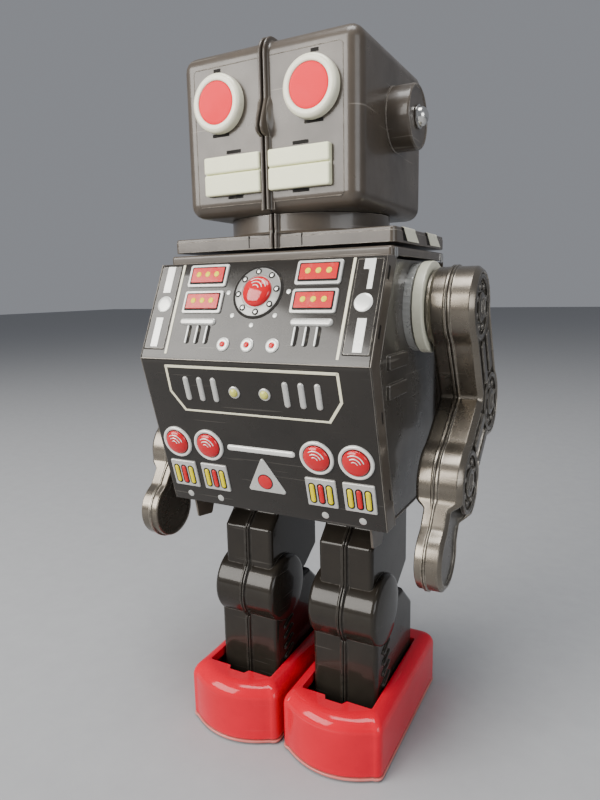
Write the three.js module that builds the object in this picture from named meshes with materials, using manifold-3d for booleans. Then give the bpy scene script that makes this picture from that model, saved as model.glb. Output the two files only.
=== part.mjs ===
// A battery-driven walking robot toy of lacquered tin, 29 cm tall.
// Millimetres, +Z up, the robot faces -Y, its left side is +X, and it stands on its rollers at z = 0.
// Dimensions put y = 0 at the shoulder axle; the whole robot is then moved so that its box is centred on Y.
import * as THREE from "three";
import { RoundedBoxGeometry } from "three/addons/geometries/RoundedBoxGeometry.js";
import { mergeVertices } from "three/addons/utils/BufferGeometryUtils.js";
import Module from "manifold-3d";

const wasm = await Module();
wasm.setup();

// ---------------------------------------------------------------- driving dimensions
const SHEET = 0.5; // the pressed tin
const GAP = 0.3; // between pieces that touch on the real toy
const SIDES = { left: 1, right: -1 };
const AXLE_TO_MIDDLE = 8.33; // the shoulder axle stands this far behind the middle of the whole robot

const HEAD = { halfWidth: 38.5, halfDepth: 36.3, bottom: 230.5, top: 292.2, edge: 5.5 };
const SEAM = { gap: 0.5, outer: 1.8, proud: 2 }; // the flanges where two half shells meet
const NOSE_PROUD = 3.6; // the bump in the flange between the eyes and the mouth
const EYE = { x: 20, z: 272.2, lens: 7.8, bezel: 11, proud: 4 };
const MOUTH = { near: 2.2, far: 27.9, bottom: 238, groove: 246.3, top: 252.9, proud: 2.6 };
const EAR = { z: 266.5, radius: 12.5, length: 9.2, knob: 4.5, knobProud: 4 };
const NECK = { radius: 32.5 };
const YOKE = { halfWidth: 49.8, front: -31.6, back: 34, bottom: 217.3, top: 223 };
const STRIPES = { places: [18, -13], slot: 9, tongue: 8.6 }; // cream tongues in the shoulder ends
const CAP = { halfWidth: 49.9, front: -34.4, back: 34, bottom: 212.6, top: 216 };

const TORSO = { halfWidth: 50.2, back: 34, bottom: 110, top: 212 };
const PANEL_TOP = { y: -40, z: 212.4 }; // top edge of the front panel
const CREASE = { y: -57.2, z: 174.9 }; // the fold across the chest
const PANEL_BOTTOM = { y: -39.6, z: 110 };
const RETURN_DEPTH = 9; // how far the front panel's folded sides reach back
const LIP_BACK = -33; // how far the lip folded back from the panel's top edge reaches under the cap

const SHOULDER = { y: 0, z: 193, axle: 3, ring: 17, ringOut: 55.7 };
const ARM = { inner: 56, hubOut: 57, seam: 64.5, outer: 75, wall: 1.4 };
const ARM_JOINTS = {
  shoulder: { y: SHOULDER.y, z: SHOULDER.z, radius: 16 },
  elbow: { y: 24, z: 151.5, radius: 16.8 },
  wrist: { y: -12, z: 125, radius: 15.8 },
  hand: { y: -28.5, z: 99.5, radius: 13.2 },
};

const LEG = { x: 24.6, upper: 12.6, lower: 15.3, knee: 17, bottom: 8, top: 138 };
const KNEE = { y: -11.5, z: 62, radius: 16 };
const BOOT = { halfWidth: 23.4, heel: 39.9, toe: -39.8, toeBulge: 6.5, bottom: 1, top: 28, edge: 6 };
const BOOT_MOUTH = { halfWidth: 16.4, front: -32, back: 27, notch: 4, notchDepth: 2.5 };
const ROLLER = { radius: 4.6, width: 4, spread: 12, axle: 1.2, front: -27, back: 29 };
const STROKE = 4; // how far a leg shuffles each way, and the throw of its crank

const CRANK = { y: -2, z: 126 };
const MODULE = 1;
const TEETH = { pinion: 8, wheel: 24 };
const TRAIN_STEP = (MODULE * (TEETH.pinion + TEETH.wheel)) / 2; // between neighbouring gear axes
const TRAIN_LEAN = THREE.MathUtils.degToRad(30); // the train leans forward from the crank
const GEAR_FACE = 2.4;
const GEAR_PITCH = 3.2; // from one layer of gears to the next
const PLATE = { inner: 5.4, thick: 1.2, front: -36, back: 0.6, heel: 12, toe: -16, bottom: 112, top: 182 };
const MOTOR = { radius: 12, length: 30 };

const CELL = { radius: 13.1, length: 50, x: 13.6, y: 18.5, bottom: 146.7 }; // a C cell, IEC LR14
const BAY = { halfWidth: 28.4, front: 4, back: 31.7, bottom: 143.4, top: 200 };
const DOOR = { halfWidth: 29, bottom: 143, top: 200 };
const SWITCH = { x: 40, z: 190, travel: 6 };

// ---------------------------------------------------------------- materials
const paint = (color, roughness, metalness) =>
  new THREE.MeshStandardMaterial({ color, roughness, metalness });
const BLACK_TIN = paint(0x2a2726, 0.25, 0.45);
const GUNMETAL = paint(0x55524f, 0.35, 0.5);
const LEG_TIN = paint(0x45423f, 0.3, 0.55);
const RED_TIN = paint(0xc81e23, 0.3, 0.1);
const CREAM = paint(0xeceada, 0.4, 0);
const MOUTH_TIN = paint(0xdcdec8, 0.35, 0.2);
const RED_LENS = paint(0xe0453f, 0.3, 0);
const BRIGHT_TIN = paint(0xb8b8b4, 0.3, 0.9);
const STEEL = paint(0x9a9a98, 0.35, 0.95);
const BRASS = paint(0xb59a50, 0.35, 0.9);
const RUBBER = paint(0x1e1e1e, 0.9, 0);
const PLASTIC = paint(0x202020, 0.6, 0);
const CELL_JACKET = paint(0x2f5f9a, 0.4, 0.1);

// ---------------------------------------------------------------- solids
// A closed three.js geometry as a solid that can be joined and cut.
function solid(geometry) {
  const source = geometry.index ? geometry.toNonIndexed() : geometry;
  const bare = new THREE.BufferGeometry();
  bare.setAttribute("position", source.getAttribute("position"));
  const merged = mergeVertices(bare, 1e-4);
  return new wasm.Manifold(
    new wasm.Mesh({
      numProp: 3,
      vertProperties: merged.getAttribute("position").array,
      triVerts: merged.index.array,
    }),
  );
}

// A finished solid as a three.js geometry.
function geometryOf(made) {
  const mesh = made.getMesh();
  const geometry = new THREE.BufferGeometry();
  geometry.setAttribute("position", new THREE.BufferAttribute(mesh.vertProperties, 3));
  geometry.setIndex(new THREE.BufferAttribute(mesh.triVerts, 1));
  const flat = geometry.toNonIndexed();
  flat.computeVertexNormals();
  return flat;
}

const join = (...pieces) => pieces.reduce((whole, piece) => whole.add(piece));
const cut = (body, ...tools) => tools.reduce((left, tool) => left.subtract(tool), body);

// A box between two corners.
function box(x0, x1, y0, y1, z0, z1) {
  const geometry = new THREE.BoxGeometry(x1 - x0, y1 - y0, z1 - z0);
  geometry.translate((x0 + x1) / 2, (y0 + y1) / 2, (z0 + z1) / 2);
  return solid(geometry);
}

// A box with every edge rounded.
function roundedBox(x0, x1, y0, y1, z0, z1, radius) {
  const geometry = new RoundedBoxGeometry(x1 - x0, y1 - y0, z1 - z0, 2, radius);
  geometry.translate((x0 + x1) / 2, (y0 + y1) / 2, (z0 + z1) / 2);
  return solid(geometry);
}

// A cylinder along X between x0 and x1.
function rod(radius, x0, x1, y, z, segments = 20) {
  const geometry = new THREE.CylinderGeometry(radius, radius, x1 - x0, segments);
  geometry.rotateZ(-Math.PI / 2);
  geometry.translate((x0 + x1) / 2, y, z);
  return solid(geometry);
}

// An outline of [x, y] points swept up from z0 to z1.
function prismZ(points, z0, z1) {
  const shape = new THREE.Shape(points.map(([x, y]) => new THREE.Vector2(x, y)));
  const geometry = new THREE.ExtrudeGeometry(shape, { depth: z1 - z0, bevelEnabled: false });
  geometry.translate(0, 0, z0);
  return solid(geometry);
}

// An outline of [y, z] points swept across from x0 to x1.
function prismX(points, x0, x1) {
  const shape = new THREE.Shape(points.map(([y, z]) => new THREE.Vector2(y, z)));
  const geometry = new THREE.ExtrudeGeometry(shape, { depth: x1 - x0, bevelEnabled: false });
  geometry.applyMatrix4(
    new THREE.Matrix4().makeBasis(
      new THREE.Vector3(0, 1, 0),
      new THREE.Vector3(0, 0, 1),
      new THREE.Vector3(1, 0, 0),
    ),
  );
  geometry.translate(x0, 0, 0);
  return solid(geometry);
}

// A profile of [radius, height] points, anticlockwise, turned about the Z axis.
function turned(profile, segments = 20) {
  const points = profile.map(([radius, height]) => new THREE.Vector2(radius, height));
  const geometry = new THREE.LatheGeometry(points, segments);
  geometry.rotateX(Math.PI / 2);
  return geometry;
}

// Points of an arc, for rounded profiles.
function arc(centreX, centreY, radius, fromDegrees, toDegrees, steps) {
  return Array.from({ length: steps + 1 }, (_, i) => {
    const angle = THREE.MathUtils.degToRad(fromDegrees + ((toDegrees - fromDegrees) * i) / steps);
    return [centreX + radius * Math.cos(angle), centreY + radius * Math.sin(angle)];
  });
}

// An anticlockwise outline moved inwards by a distance.
function inset(points, distance) {
  const edges = points.map((a, i) => {
    const b = points[(i + 1) % points.length];
    const length = Math.hypot(b[0] - a[0], b[1] - a[1]);
    const along = [(b[0] - a[0]) / length, (b[1] - a[1]) / length];
    return { along, start: [a[0] - along[1] * distance, a[1] + along[0] * distance] };
  });
  return edges.map((edge, i) => {
    const before = edges[(i + edges.length - 1) % edges.length];
    const turn = before.along[0] * edge.along[1] - before.along[1] * edge.along[0];
    const dx = edge.start[0] - before.start[0];
    const dy = edge.start[1] - before.start[1];
    const reach = (dx * edge.along[1] - dy * edge.along[0]) / turn;
    return [before.start[0] + before.along[0] * reach, before.start[1] + before.along[1] * reach];
  });
}

// Stand a piece made about the Z axis so that it points along a direction from a place.
function pointed(geometry, place, direction) {
  const turn = new THREE.Quaternion().setFromUnitVectors(
    new THREE.Vector3(0, 0, 1),
    new THREE.Vector3(...direction).normalize(),
  );
  geometry.applyQuaternion(turn);
  geometry.translate(...place);
  return solid(geometry);
}

const root = new THREE.Group();
const robot = new THREE.Group();
robot.position.y = AXLE_TO_MIDDLE;
root.add(robot);

// Adds one named sub-part.
function piece(parent, name, made, material) {
  const mesh = new THREE.Mesh(geometryOf(made), material);
  mesh.name = name;
  parent.add(mesh);
}

// ---------------------------------------------------------------- head
// Where two half shells meet, each turns out into a flange: this is the left half of such a pair.
function flangedHalf(outside, inside, ridge) {
  const far = 200;
  const half = box(SEAM.gap, far, -far, far, -far, 2 * far);
  const strip = box(SEAM.gap, SEAM.outer, -far, far, -far, 2 * far);
  return cut(join(outside.intersect(half), ridge.intersect(strip)), inside);
}

function headShell() {
  const { halfWidth, halfDepth, bottom, top, edge } = HEAD;
  const grown = (by, radius) =>
    roundedBox(
      -halfWidth - by, halfWidth + by, -halfDepth - by, halfDepth + by, bottom - by, top + by, radius,
    );
  const ridge = cut(grown(SEAM.proud, edge + 1), box(-3, 3, -60, 60, bottom - 10, bottom));
  const face = -halfDepth - SEAM.proud;
  const noseOutline = [
    [face + 1, 271.5], [face + 1, 258.2], [face - 1.5, 258.6], [face - NOSE_PROUD, 261.4], [face, 271],
  ];
  return flangedHalf(grown(0, edge), grown(-SHEET, edge - SHEET), join(ridge, prismX(noseOutline, 0.5, 3)));
}

function eyeBezel() {
  const { lens, bezel, proud } = EYE;
  const round = 1.4;
  const profile = [
    [lens + GAP, 0], [bezel, 0], ...arc(bezel - round, proud - round, round, 0, 90, 2),
    [lens + GAP, proud - 0.8], [lens + GAP, 0],
  ];
  return pointed(turned(profile), [EYE.x, -HEAD.halfDepth - GAP, EYE.z], [0, -1, 0]);
}

function eyeLens() {
  const { lens, proud } = EYE;
  const profile = [[0, 0], [lens, 0], [lens, proud - 1.8], [lens * 0.6, proud - 1.3], [0, proud - 1.1]];
  return pointed(turned(profile), [EYE.x, -HEAD.halfDepth - GAP, EYE.z], [0, -1, 0]);
}

// One cream half of the mouth: a plate pressed into two bars.
function mouthPlate() {
  const { near, far, bottom, groove, top, proud } = MOUTH;
  const back = -HEAD.halfDepth - GAP;
  const front = back - proud;
  const bevel = 1;
  const profile = [
    [back, bottom], [front + bevel, bottom], [front, bottom + bevel], [front, groove - bevel],
    [front + bevel, groove], [front, groove + bevel], [front, top - bevel], [front + bevel, top], [back, top],
  ];
  return prismX(profile.reverse(), near, far);
}

function earCap() {
  const { radius, length } = EAR;
  const round = 1.5;
  const outside = [[0, 0], [radius, 0], ...arc(radius - round, length - round, round, 0, 90, 2), [0, length]];
  const inside = [[0, -1], [radius - SHEET, -1], [radius - SHEET, length - round], [0, length - round]];
  const place = [HEAD.halfWidth + GAP, 0, EAR.z];
  return cut(pointed(turned(outside), place, [1, 0, 0]), pointed(turned(inside), place, [1, 0, 0]));
}

function earKnob() {
  const { knob, knobProud, length } = EAR;
  const profile = [
    [0, 0], [knob, 0], [knob, knobProud * 0.35], [knob * 0.75, knobProud * 0.8], [0, knobProud],
  ];
  return pointed(turned(profile, 14), [HEAD.halfWidth + length + 2 * GAP, 0, EAR.z], [1, 0, 0]);
}

// Neck and shoulders are pressed as one, in two halves like the head.
function yokeHalf() {
  const { halfWidth, front, back, bottom, top } = YOKE;
  const neck = (radius, z0, z1) =>
    pointed(turned([[0, z0], [radius, z0], [radius, z1], [0, z1]], 32), [0, 0, 0], [0, 0, 1]);
  const neckTop = HEAD.bottom - GAP;
  const bevel = 1.2;
  const plan = [
    [-halfWidth, front + bevel], [-halfWidth + bevel, front], [halfWidth - bevel, front],
    [halfWidth, front + bevel], [halfWidth, back], [-halfWidth, back],
  ];
  const outside = join(prismZ(plan, bottom, top), neck(NECK.radius, top - 1, neckTop));
  const inside = join(
    prismZ(inset(plan, SHEET), bottom - 1, top - SHEET),
    neck(NECK.radius - SHEET, top - 2, neckTop - SHEET),
  );
  const ridge = join(
    box(-3, 3, front - SEAM.proud, front + 1, bottom, top + SEAM.proud),
    box(-3, 3, front, -NECK.radius + 2, top - 1, top + SEAM.proud),
    box(-3, 3, -NECK.radius - SEAM.proud + 1, -NECK.radius + 1, top - 1, neckTop),
  );
  const stripes = STRIPES.places.map((y) =>
    box(halfWidth - 5.5, halfWidth + 1, y - STRIPES.slot, y + STRIPES.slot, bottom + 1.5, top + 1),
  );
  return cut(flangedHalf(outside, inside, ridge), ...stripes);
}

// The cream insert that shows through the two slots at a shoulder's edge.
function yokeInsert() {
  const { halfWidth, bottom, top } = YOKE;
  const bar = box(halfWidth - 6.5, halfWidth - SHEET - GAP, -25, 31, bottom + 1.8, top - SHEET - GAP);
  const tongues = STRIPES.places.map((y) =>
    box(halfWidth - 5.2, halfWidth - 0.3, y - STRIPES.tongue, y + STRIPES.tongue, bottom + 1.8, top - 0.3),
  );
  return join(bar, ...tongues);
}

// ---------------------------------------------------------------- torso casing
function topCap() {
  const { halfWidth, front, back, bottom, top } = CAP;
  const outside = roundedBox(-halfWidth, halfWidth, front, back, bottom - 3, top, 1.2);
  const inside = box(
    -halfWidth + SHEET, halfWidth - SHEET, front + SHEET, back - SHEET, bottom - 4, top - SHEET,
  );
  const below = box(-60, 60, -60, 60, bottom - 5, bottom);
  return cut(outside, inside, below);
}

// The front panel's outline in side view, set back by a distance behind its face.
function panelProfile(setBack, depth) {
  const face = [PANEL_TOP, CREASE, PANEL_BOTTOM].map(({ y, z }) => [y + setBack, z]);
  const behind = [PANEL_BOTTOM, CREASE, PANEL_TOP].map(({ y, z }) => [y + depth, z]);
  return [...face, ...behind];
}

// A place on the front panel: x across it, s down from the top edge or from the crease, height out of it.
function onPanel(geometry, half, x, s, height) {
  const from = half === "upper" ? PANEL_TOP : CREASE;
  const to = half === "upper" ? CREASE : PANEL_BOTTOM;
  const length = Math.hypot(to.y - from.y, to.z - from.z);
  const down = [(to.y - from.y) / length, (to.z - from.z) / length];
  const across = new THREE.Vector3(1, 0, 0);
  const up = new THREE.Vector3(0, -down[0], -down[1]);
  const out = new THREE.Vector3().crossVectors(across, up);
  const place = new THREE.Vector3(x, from.y + down[0] * s, from.z + down[1] * s).addScaledVector(out, height);
  geometry.applyMatrix4(new THREE.Matrix4().makeBasis(across, up, out).setPosition(place));
  return solid(geometry);
}

// A dome pressed out of the panel: a lamp, a button or the dial.
function dome(half, x, s, rim, crown, height) {
  const sunk = -0.4;
  const profile = [
    [0, sunk], [rim, sunk], [rim, 0.5], [crown, 0.5], [crown * 0.7, height * 0.75], [0, height],
  ];
  return onPanel(turned(profile, 10), half, x, s, 0);
}

// A rectangle pressed out of the panel.
function pressed(half, x0, x1, s0, s1, height) {
  const sunk = 0.4;
  const geometry = new THREE.BoxGeometry(x1 - x0, s1 - s0, height + sunk);
  return onPanel(geometry, half, (x0 + x1) / 2, (s0 + s1) / 2, (height - sunk) / 2);
}

function frontPanel() {
  const { halfWidth } = TORSO;
  const outside = prismX(panelProfile(0, RETURN_DEPTH), -halfWidth, halfWidth);
  const inside = prismX(panelProfile(SHEET, RETURN_DEPTH + 5), -halfWidth + SHEET, halfWidth - SHEET);
  const relief = [dome("upper", 0, 13.2, 10.5, 6.1, 2.2)];
  for (const side of [1, -1]) {
    const bar = (half, near, far, s0, s1, height) => {
      const edges = [side * near, side * far];
      relief.push(pressed(half, Math.min(...edges), Math.max(...edges), s0, s1, height));
    };
    bar("upper", 15.3, 34, 1.2, 11, 0.8);
    bar("upper", 15.3, 34, 12.6, 22.3, 0.8);
    bar("lower", 18.4, 31.4, 46.8, 59.4, 0.8);
    bar("lower", 34.3, 47.3, 46.8, 59.4, 0.8);
    relief.push(dome("lower", side * 24.9, 37.7, 7.1, 5.4, 2.4));
    relief.push(dome("lower", side * 41, 37.7, 7.1, 5.4, 2.4));
    relief.push(dome("upper", side * 10.9, 35.6, 2.7, 1.8, 1.2));
  }
  const lip = box(
    -halfWidth + 0.1, halfWidth - 0.1, PANEL_TOP.y + 0.1, LIP_BACK, PANEL_TOP.z - SHEET, PANEL_TOP.z - 0.02,
  );
  return join(cut(outside, inside), lip, ...relief);
}

// A side panel lies just inside the front panel's folded side.
function sidePanel() {
  const outer = TORSO.halfWidth - SHEET - GAP;
  const clear = 1.6;
  const top = PANEL_TOP.z - SHEET - GAP;
  const outline = [
    [PANEL_TOP.y + clear, top], [CREASE.y + clear, CREASE.z], [PANEL_BOTTOM.y + clear, TORSO.bottom],
    [TORSO.back - SHEET - GAP, TORSO.bottom], [TORSO.back - SHEET - GAP, top],
  ];
  const plate = prismX(outline, outer - SHEET, outer);
  const louvres = [164, 153].map((z) => box(outer - 0.4, outer + 0.8, -39, -20, z, z + 4));
  const axleHole = rod(SHOULDER.axle + GAP, outer - 2, outer + 2, SHOULDER.y, SHOULDER.z, 8);
  return cut(join(plate, ...louvres), axleHole);
}

function backPanel() {
  const halfWidth = TORSO.halfWidth - SHEET;
  const y = TORSO.back;
  const plate = box(-halfWidth, halfWidth, y - SHEET, y, TORSO.bottom, TORSO.top);
  const doorReach = DOOR.halfWidth + 0.4;
  const door = box(-doorReach, doorReach, y - 2, y + 1, DOOR.bottom - 1.8, DOOR.top + 0.4);
  const slotTop = SWITCH.z + SWITCH.travel + 2.4;
  const slot = box(SWITCH.x - 2.2, SWITCH.x + 2.2, y - 2, y + 1, SWITCH.z - 2.4, slotTop);
  return cut(plate, door, slot);
}

// The torso's floor, with a slot for each leg to shuffle in and lips folded down beside it.
function basePlate() {
  const halfWidth = TORSO.halfWidth - 2 * (SHEET + GAP) - 0.2;
  const front = PANEL_BOTTOM.y + 1.8;
  const top = TORSO.bottom + SHEET;
  const plate = box(-halfWidth, halfWidth, front, TORSO.back - SHEET - GAP, TORSO.bottom, top);
  const clear = 1;
  const slots = [];
  const lips = [];
  for (const side of [1, -1]) {
    const near = side * LEG.x - LEG.upper - clear;
    const far = side * LEG.x + LEG.upper + clear;
    slots.push(box(near, far, -15 - STROKE - clear, 17 + STROKE + clear, TORSO.bottom - 1, top + 1));
    const lipX = side * (LEG.x + LEG.upper + 5);
    lips.push(box(lipX - 0.5, lipX + 0.5, -31, -18, TORSO.bottom - 9, TORSO.bottom + 0.4));
  }
  return cut(join(plate, ...lips), ...slots);
}

// ---------------------------------------------------------------- arms
// The arm's outline swept across, shrunk by a margin: four discs with links between them.
function armBody(x0, x1, margin) {
  const { shoulder, elbow, wrist, hand } = ARM_JOINTS;
  const disc = ({ y, z, radius }) => rod(radius - margin, x0, x1, y, z, 18);
  // A link between two discs, reaching a different distance to the front and to the back of its line.
  const link = (a, b, front, back) => {
    const length = Math.hypot(b.y - a.y, b.z - a.z);
    const across = [(b.z - a.z) / length, -(b.y - a.y) / length];
    const corner = (joint, reach) => [joint.y + across[0] * reach, joint.z + across[1] * reach];
    const outline = [
      corner(a, front - margin), corner(b, front - margin),
      corner(b, margin - back), corner(a, margin - back),
    ];
    return prismX(outline, x0, x1);
  };
  return join(
    disc(shoulder), disc(elbow), disc(wrist), disc(hand),
    link(shoulder, elbow, 15, 14), link(elbow, wrist, 15.2, 5), link(wrist, hand, 12.4, 10.5),
  );
}

// One moulded half of the arm, hollow from its open side.
function armHalf(x0, x1, openAt) {
  const { wall, seam } = ARM;
  const opensOutwards = openAt > (x0 + x1) / 2;
  const hollow = opensOutwards ? armBody(x0 + wall, x1 + 1, wall) : armBody(x0 - 1, x1 - wall, wall);
  const bore = rod(SHOULDER.axle + GAP, x0 - 2, seam + 1, SHOULDER.y, SHOULDER.z, 8);
  return cut(armBody(x0, x1, 0), hollow, bore);
}

function armInner() {
  const hub = cut(
    rod(15, ARM.inner, ARM.hubOut + 0.4, SHOULDER.y, SHOULDER.z),
    rod(SHOULDER.axle + GAP, ARM.inner - 1, ARM.hubOut + 1, SHOULDER.y, SHOULDER.z, 8),
  );
  return join(armHalf(ARM.hubOut, ARM.seam - GAP / 2, ARM.seam), hub);
}

function armOuter() {
  const shell = armHalf(ARM.seam + GAP / 2, ARM.outer, ARM.seam);
  const { shoulder, elbow, wrist } = ARM_JOINTS;
  // A round groove pressed into each disc, round a hub that stays proud.
  const grooves = [shoulder, elbow, wrist].map(({ y, z, radius }) =>
    cut(
      rod(radius * 0.72, ARM.outer - 0.7, ARM.outer + 1, y, z, 12),
      rod(radius * 0.34, ARM.outer - 2, ARM.outer + 2, y, z, 8),
    ),
  );
  return cut(shell, ...grooves);
}

// The cream ratchet ring that the arm turns against.
function shoulderRing() {
  const start = TORSO.halfWidth - SHEET;
  return cut(
    rod(SHOULDER.ring, start, SHOULDER.ringOut, SHOULDER.y, SHOULDER.z, 24),
    rod(SHOULDER.axle + GAP, start - 1, SHOULDER.ringOut + 1, SHOULDER.y, SHOULDER.z, 8),
  );
}

// ---------------------------------------------------------------- legs and boots
const UPPER_LEG = [
  [-21.5, KNEE.z], [12, KNEE.z], [25, 70], [25, 100], [17, 106],
  [17, LEG.top], [-15, LEG.top], [-15, 99], [-21.5, 93],
];
const LOWER_LEG = [[-23, LEG.bottom], [25, LEG.bottom], [25, 50], [12, KNEE.z], [-23, KNEE.z]];

// Upper leg, knee and lower leg, shrunk by a margin, about the leg's own middle plane.
function legBody(margin) {
  const upper = prismX(inset(UPPER_LEG, margin), -LEG.upper + margin, LEG.upper - margin);
  const lower = prismX(inset(LOWER_LEG, margin), -LEG.lower + margin, LEG.lower - margin);
  const knee = rod(KNEE.radius - margin, -LEG.knee + margin, LEG.knee - margin, KNEE.y, KNEE.z);
  const passage = box(-LEG.upper + margin, LEG.upper - margin, -20, 10, KNEE.z - 4, KNEE.z + 4);
  return join(upper, lower, knee, passage);
}

// Half of a leg, split at its middle plane, open at the bottom, with a seam flange down its front and back.
function legHalf(side) {
  const far = 60;
  const near = SEAM.gap / 2;
  const flange = 1.9;
  const slab = (reach) => {
    const edges = [side * near, side * reach];
    return box(Math.min(...edges), Math.max(...edges), -far, far, LEG.bottom, LEG.top);
  };
  const ridge = legBody(-1.4).intersect(slab(flange)).intersect(box(-far, far, -far, far, LEG.bottom, 96));
  const openBottom = box(-LEG.lower + SHEET, LEG.lower - SHEET, -22, 24, LEG.bottom - 1, LEG.bottom + 2);
  return cut(join(legBody(0).intersect(slab(far)), ridge), legBody(SHEET), openBottom);
}

// The half nearer the middle of the robot has a window for the crank pin.
function legInner() {
  const window = box(
    -LEG.upper - 2, -LEG.upper + 2,
    CRANK.y - 2 * STROKE - 2.2, CRANK.y + 2 * STROKE + 2.2, CRANK.z - STROKE - 2.2, CRANK.z + STROKE + 2.2,
  );
  return cut(legHalf(-1), window);
}

const legOuter = () => legHalf(1);

// A boot seen from above, shrunk by a margin: a bulging toe and rounded corners.
function bootShape(margin) {
  const side = BOOT.halfWidth - margin;
  const heel = BOOT.heel - margin;
  const toe = BOOT.toe + margin;
  const round = 2;
  const shape = new THREE.Shape();
  shape.moveTo(-side, toe + round);
  shape.quadraticCurveTo(-side, toe, -side + round, toe - 0.6);
  shape.quadraticCurveTo(0, toe - 2 * BOOT.toeBulge, side - round, toe - 0.6);
  shape.quadraticCurveTo(side, toe, side, toe + round);
  shape.lineTo(side, heel - round);
  shape.quadraticCurveTo(side, heel, side - round, heel);
  shape.lineTo(-side + round, heel);
  shape.quadraticCurveTo(-side, heel, -side, heel - round);
  shape.closePath();
  return shape;
}

// A boot's outside or inside: rounded over at the top, straight to below the rim.
function bootBody(margin) {
  const edge = BOOT.edge - margin;
  const depth = BOOT.top - margin - edge;
  const geometry = new THREE.ExtrudeGeometry(bootShape(BOOT.edge), {
    depth,
    bevelSize: edge,
    bevelThickness: edge,
    bevelSegments: 3,
    curveSegments: 4,
  });
  return solid(geometry);
}

function boot() {
  const { halfWidth, front, back, notch, notchDepth } = BOOT_MOUTH;
  const mouth = box(-halfWidth, halfWidth, front, back, BOOT.top - 4, BOOT.top + 1);
  const lipNotch = box(-notch, notch, front - notchDepth, front + 1, BOOT.top - 4, BOOT.top + 1);
  const underside = box(-60, 60, -60, 60, -20, BOOT.bottom);
  return cut(bootBody(0), bootBody(SHEET), mouth, lipNotch, underside);
}

// The sole closes the boot from below and carries the roller axles.
function sole() {
  const z = 2.2;
  const plate = bootBody(SHEET + GAP).intersect(box(-60, 60, -60, 60, z, z + SHEET));
  const holes = [];
  const brackets = [];
  for (const y of [ROLLER.front, ROLLER.back]) {
    for (const x of [-ROLLER.spread, ROLLER.spread]) {
      const reach = ROLLER.radius + 0.6;
      holes.push(box(x - ROLLER.width / 2 - 0.6, x + ROLLER.width / 2 + 0.6, y - reach, y + reach, 0, z + 2));
      const inward = x - Math.sign(x) * (ROLLER.width / 2 + 1.6);
      brackets.push(box(inward - 0.5, inward + 0.5, y - 3, y + 3, z + 0.4, ROLLER.radius + 3));
    }
    holes.push(rod(ROLLER.axle + GAP, -20, 20, y, ROLLER.radius, 8));
  }
  return cut(join(plate, ...brackets), ...holes);
}

// Two rubber rollers on their axle.
function rollers(y) {
  const wheel = (x) => rod(ROLLER.radius, x - ROLLER.width / 2, x + ROLLER.width / 2, y, ROLLER.radius, 12);
  const reach = ROLLER.spread + 3.5;
  const axle = rod(ROLLER.axle, -reach, reach, y, ROLLER.radius, 8);
  return join(axle, wheel(-ROLLER.spread), wheel(ROLLER.spread));
}

// ---------------------------------------------------------------- drive
// Axis k steps along the gear train from the crank: 0 is the crank, 3 is the motor.
const trainAxis = (k) => ({
  y: CRANK.y - k * TRAIN_STEP * Math.sin(TRAIN_LEAN),
  z: CRANK.z + k * TRAIN_STEP * Math.cos(TRAIN_LEAN),
});

// A spur gear across layer -1, 0 or 1, with its first tooth turned to an angle from straight up.
function gear(teeth, layer, axis, turn) {
  const pitch = (MODULE * teeth) / 2;
  const outline = [];
  for (let i = 0; i < teeth; i += 1) {
    const middle = turn + (i * 2 * Math.PI) / teeth;
    const step = Math.PI / teeth;
    const flank = [[-0.78, -1], [-0.3, 0.85], [0.3, 0.85], [0.78, -1]];
    for (const [across, rise] of flank) {
      const radius = pitch + rise * MODULE;
      const angle = middle + across * step * 0.62;
      outline.push([axis.y - radius * Math.sin(angle), axis.z + radius * Math.cos(angle)]);
    }
  }
  const x = layer * GEAR_PITCH;
  return prismX(outline, x - GEAR_FACE / 2, x + GEAR_FACE / 2);
}

// Facing teeth meet when one gear of a pair has a tooth on the line of centres and the other a gap.
const TOWARDS_MOTOR = TRAIN_LEAN;
const halfTooth = (teeth) => Math.PI / teeth;

function motorPinion() {
  const axis = trainAxis(3);
  const shaft = rod(1, -GEAR_PITCH - GEAR_FACE, PLATE.inner + PLATE.thick + GAP, axis.y, axis.z, 10);
  return join(gear(TEETH.pinion, -1, axis, TOWARDS_MOTOR + Math.PI), shaft);
}

// An idler carries the wheel that is driven and the pinion that drives the next one.
function idler(k, wheelLayer) {
  const axis = trainAxis(k);
  const wheel = gear(TEETH.wheel, wheelLayer, axis, TOWARDS_MOTOR + halfTooth(TEETH.wheel));
  const pinion = gear(TEETH.pinion, wheelLayer + 1, axis, TOWARDS_MOTOR + Math.PI);
  const reach = PLATE.inner + PLATE.thick;
  return join(wheel, pinion, rod(1.2, -reach, reach, axis.y, axis.z, 10));
}

function crankGear() {
  const bore = rod(2 + GAP, -6, 6, CRANK.y, CRANK.z, 12);
  return cut(gear(TEETH.wheel, 1, CRANK, TOWARDS_MOTOR + halfTooth(TEETH.wheel)), bore);
}

const crankShaft = () => rod(2, -9.6, 9.6, CRANK.y, CRANK.z, 12);

// A crank disc with its pin; the two pins stand opposite each other.
function crankDisc(throwDirection) {
  const disc = cut(rod(7, 7.4, 9.2, CRANK.y, CRANK.z, 20), rod(2 + GAP, 7, 10, CRANK.y, CRANK.z, 12));
  return join(disc, rod(1.5, 8, 14.5, CRANK.y, CRANK.z + throwDirection * STROKE, 8));
}

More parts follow.
